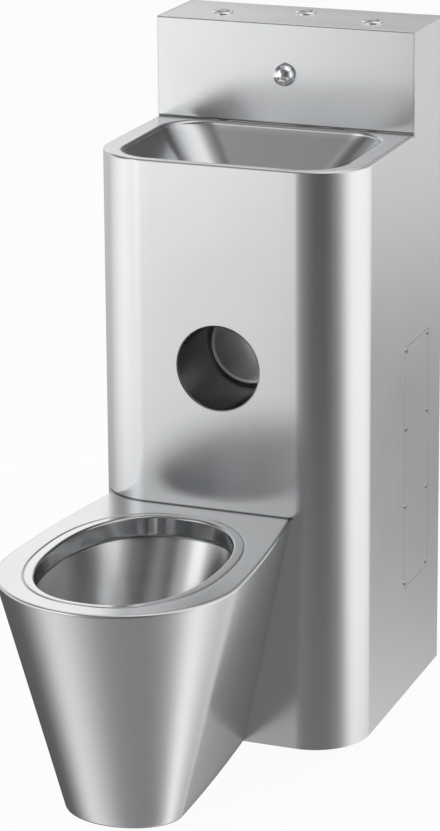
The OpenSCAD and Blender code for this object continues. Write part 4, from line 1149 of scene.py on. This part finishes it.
class COMBI_OT_studio(CombiPiece, bpy.types.Operator):
    """Floor, lamps, surroundings and camera"""

    bl_idname = "combi.studio"
    bl_label = "Studio"

    # Share of plain white in the floor as it is seen; the rest of it takes light and shadow
    WHITE_SHARE = 0.93
    # The surroundings as they light what doesn't shine
    PLAIN = (0.62, 0.62, 0.63, 1)

    def execute(self, context):
        self.floor()
        self.surroundings(context.scene)
        self.lamp("key_panel", (-2.2, -2.6, 3.0), 2.0, 46.0)
        self.lamp("fill_panel", (2.8, -1.6, 2.4), 2.0, 22.0)
        self.lamp("back_panel", (0.6, 2.6, 3.0), 2.2, 18.0)
        self.camera(context.scene)
        return {"FINISHED"}

    def floor(self):
        """A pale floor that keeps the unit's shadow."""
        half = 9.0
        corners = [(-half, -half, 0), (half, -half, 0), (half, half, 0), (-half, half, 0)]
        plane = piece_from("studio_floor", corners, [(0, 1, 2, 3)])
        made = bpy.data.materials.new("studio_floor")
        net = Net(made)
        colour = shade(finish_colours().floor, 1.0)
        plain = net.add("ShaderNodeBsdfDiffuse", None, {"Color": colour})
        lit = net.add("ShaderNodeEmission", None, {"Color": (1, 1, 1, 1), "Strength": 1.0})
        path = net.add("ShaderNodeLightPath", output="Is Camera Ray")
        seen = path + path.output("Is Glossy Ray") + path.output("Is Transmission Ray")
        net.end(net.add("ShaderNodeMixShader", None, {0: seen * self.WHITE_SHARE, 1: plain, 2: lit}))
        plane.data.materials.append(made)
        plane.visible_glossy = False

    def surroundings(self, scene):
        """White surroundings; what shines also shows the soft boxes and the dark gaps between them."""
        world = bpy.data.worlds.new("studio")
        scene.world = world
        net = Net(world)
        direction = net.add("ShaderNodeTexCoord", output="Generated")
        axes = net.add("ShaderNodeSeparateXYZ", None, {0: direction})
        x, y, z = axes, axes.output("Y"), axes.output("Z")
        round_about = x.maths("ARCTAN2", x, y * -1.0) / math.tau + 0.5
        colour = self.boxes(net, round_about, SOFT_BOXES[0][1])
        for (low, _), (high, gaps) in zip(SOFT_BOXES, SOFT_BOXES[1:]):
            rise = net.add("ShaderNodeMapRange", {"interpolation_type": "SMOOTHSTEP"},
                           {"Value": z, "From Min": low, "From Max": high})
            colour = net.between(rise, colour, self.boxes(net, round_about, gaps))
        path = net.add("ShaderNodeLightPath", output="Is Camera Ray")
        shiny = path.maths("MAXIMUM", path.output("Is Glossy Ray"), path.output("Is Transmission Ray"))
        plain = net.between(path, self.PLAIN, (1, 1, 1, 1))
        colour = net.between(shiny, plain, colour)
        strength = 1.0 + shiny * (BOX_LEVEL - 1.0)
        net.end(net.add("ShaderNodeBackground", None, {"Color": colour, "Strength": strength}),
                "ShaderNodeOutputWorld")

    def boxes(self, net, place, gaps):
        """Grey level round the horizon from (azimuth in degrees, level) pairs."""
        stops = [((azimuth + 180) / 360, value / BOX_LEVEL) for azimuth, value in gaps]
        return net.add("ShaderNodeValToRGB", {"stops": stops, "interpolation": "EASE"}, {0: place})

    def lamp(self, name, place, size, power):
        """A soft panel that lights the floor and the plain pieces."""
        data = bpy.data.lights.new(name, "AREA")
        data.shape = "SQUARE"
        data.size = size
        data.energy = power
        lamp = bpy.data.objects.new(name, data)
        lamp.location = place
        aim = Vector((0, -0.4, 0.4)) - Vector(place)
        lamp.rotation_euler = aim.to_track_quat("-Z", "Y").to_euler()
        lamp.visible_glossy = False
        lamp.visible_camera = False
        bpy.context.scene.collection.objects.link(lamp)

    def camera(self, scene):
        """Camera at the picture's viewing angle."""
        data = bpy.data.cameras.new("camera")
        data.sensor_width = 36.0
        data.lens = 137.96
        data.shift_y = -0.20
        data.clip_start, data.clip_end = 0.05, 60.0
        azimuth, pitch, roll = (math.radians(angle) for angle in (21.304, 14.745, -0.4157))
        flat = math.cos(pitch)
        back = Vector((math.sin(azimuth) * flat, -math.cos(azimuth) * flat, math.sin(pitch)))
        right = Vector((math.cos(azimuth), math.sin(azimuth), 0))
        up = back.cross(right)
        turned = right * math.cos(roll) + up * math.sin(roll)
        upright = up * math.cos(roll) - right * math.sin(roll)
        camera = bpy.data.objects.new("camera", data)
        matrix = Matrix((turned, upright, back)).transposed().to_4x4()
        matrix.translation = (1.5677, -4.4224, 1.8681)
        camera.matrix_world = matrix
        scene.collection.objects.link(camera)
        scene.camera = camera
        scene.view_settings.view_transform = "Standard"


# The level that white stands for in the ramps of the soft boxes, where the white background has level 1
BOX_LEVEL = 2.0
# What shines sees soft boxes and gaps: for each height, as the sine of its angle above the horizon,
# (azimuth in degrees, level) all the way round
SOFT_BOXES = [
    (-0.80, [(-180, .14), (-150, .12), (-104, .12), (-94, .24), (-84, .45), (-76, .72), (-66, 1.0),
             (-56, 1.0), (-44, .82), (-32, .66), (-20, .50), (-8, .38), (6, .31), (44, .28), (58, .28),
             (70, .36), (82, .48), (92, .78), (101, 1.15), (111, 1.3), (120, 1.0), (132, .70),
             (146, .42), (160, .34), (172, .40), (180, .14)]),
    (-0.42, [(-180, .06), (-120, .12), (-100, .14), (-85, .30), (-70, .50), (-50, .55), (-30, .40),
             (-21, .12), (10, .22), (40, .22), (60, .28), (72, .34), (84, .56), (96, .95), (112, 1.0),
             (126, .90), (145, .80), (158, .85), (166, .80), (172, .40), (177, .25), (180, .06)]),
    (-0.345, [(-180, .20), (-150, .30), (-110, .40), (-90, .55), (-60, .65), (-40, .80), (-27, 1.1),
              (-22, 1.2), (-19, .50), (-10, .26), (4, .18), (40, .17), (54, .20), (66, .26), (76, .48),
              (86, .98), (98, 1.2), (126, 1.2), (148, 1.1), (156, .70), (162, .20), (172, .20),
              (180, .20)]),
    (-0.30, [(-180, .42), (-150, .50), (-121, .60), (-108, .65), (-95, .95), (-80, 1.3), (-60, 1.5),
             (-44, 1.3), (-30, 1.15), (-22, 1.1), (-20, .95), (-17, .65), (-12, .45), (-6, .34),
             (4, .20), (18, .12), (38, .10), (52, .12), (64, .20), (76, .48), (86, 1.0), (98, 1.2),
             (126, 1.2), (148, 1.1), (156, .70), (161, .14), (172, .14), (180, .30)]),
    (-0.22, [(-180, .50), (-150, .65), (-121, .70), (-105, .65), (-89, 1.0), (-73, 1.2), (-57, 1.3),
             (-40, 1.15), (-30, 1.45), (-26, 1.65), (-22, 1.75), (-20.5, 1.65), (-19, .85),
             (-17.5, .30), (-12, .28), (0, .22), (20, .11), (36, .10), (48, .18), (60, .36), (70, .60),
             (80, 1.0), (92, 1.25), (118, 1.25), (146, 1.15), (157, .95), (162, .70), (172, .60),
             (180, .50)]),
    (0.05, [(-180, .40), (-166, .32), (-160, .42), (-154, .68), (-121, .72), (-60, 1.0), (-30, 1.5),
            (-26, 1.7), (-22, 1.8), (-20.5, 1.65), (-19, .85), (-17.5, .35), (-13, .45), (4, .20),
            (30, .12), (52, .15), (64, .50), (76, 1.0), (90, 1.2), (118, 1.1), (140, .95), (155, .90),
            (166, .60), (180, .50)]),
    (0.20, [(-180, .15), (-168, .15), (-162, .28), (-158, .62), (-154, .82), (-146, .85), (-115, .90),
            (-70, .90), (-50, 1.2), (-20, 1.2), (-8, .30), (8, .10), (44, .10), (58, .35), (76, 1.0),
            (112, 1.0), (136, .50), (156, .35), (180, .25)]),
    (0.34, [(-180, 1.0), (-166, 1.2), (-155, 1.45), (-146, 1.4), (-115, .80), (-90, .40), (-70, .30),
            (-56, .70), (-44, 1.3), (-30, 1.2), (-20, .90), (-12, .25), (8, .22), (24, .12), (46, .10),
            (60, .35), (76, .90), (112, .90), (136, .45), (156, .35), (172, .80), (180, 1.0)]),
    (0.52, [(-180, .80), (-150, .70), (-115, .40), (-80, .10), (-62, .35), (-48, 1.5), (-36, 1.5),
            (-26, .40), (-16, .04), (-6, .20), (4, .34), (14, .20), (24, .06), (52, .04), (64, .30),
            (80, .80), (104, .70), (126, .50), (156, .30), (172, .60), (180, .80)]),
    (0.71, [(-180, 1.1), (-140, .90), (-112, .30), (-92, .10), (-60, .12), (-44, .26), (-28, .24),
            (-14, .10), (2, .16), (14, .10), (30, .10), (44, .45), (58, 1.0), (104, 1.1), (126, .60),
            (150, .35), (170, .80), (180, 1.1)]),
    (0.92, [(-180, .90), (-120, .70), (-60, .30), (-10, .35), (14, .50), (40, 1.0), (60, 1.2),
            (100, 1.0), (140, .80), (180, .90)]),
]

GROUPS = {"combi_sheet": CombiSheet, "combi_bowl": CombiBowl, "combi_pan": CombiPan,
          "combi_finish": CombiFinish}
# In the order in which they run
STEPS = (COMBI_OT_finishes, COMBI_OT_casing, COMBI_OT_upstand, COMBI_OT_basin, COMBI_OT_recess,
         COMBI_OT_pan, COMBI_OT_spout, COMBI_OT_buttons, COMBI_OT_fittings, COMBI_OT_studio)


class COMBI_PT_panel(bpy.types.Panel):
    """Sizes, finishes and steps of the combination unit"""

    bl_idname = "COMBI_PT_panel"
    bl_label = "Combination unit"
    bl_space_type = "VIEW_3D"
    bl_region_type = "UI"
    bl_category = "Combination unit"

    def draw(self, context):
        for group_name in GROUPS:
            group, box = getattr(context.scene, group_name), self.layout.box()
            for name in group.bl_rna.properties.keys():
                if name not in ("name", "rna_type"):
                    box.prop(group, name)
        for kind in STEPS:
            self.layout.operator(kind.bl_idname)


def register():
    for kind in (*GROUPS.values(), *STEPS, COMBI_PT_panel):
        bpy.utils.register_class(kind)
    for name, kind in GROUPS.items():
        setattr(bpy.types.Scene, name, PointerProperty(type=kind))


def unregister():
    for name in GROUPS:
        delattr(bpy.types.Scene, name)
    for kind in reversed((*GROUPS.values(), *STEPS, COMBI_PT_panel)):
        bpy.utils.unregister_class(kind)


def main():
    register()
    for kind in STEPS:
        getattr(bpy.ops.combi, kind.bl_idname.split(".")[1])()


if __name__ == "__main__":
    main()
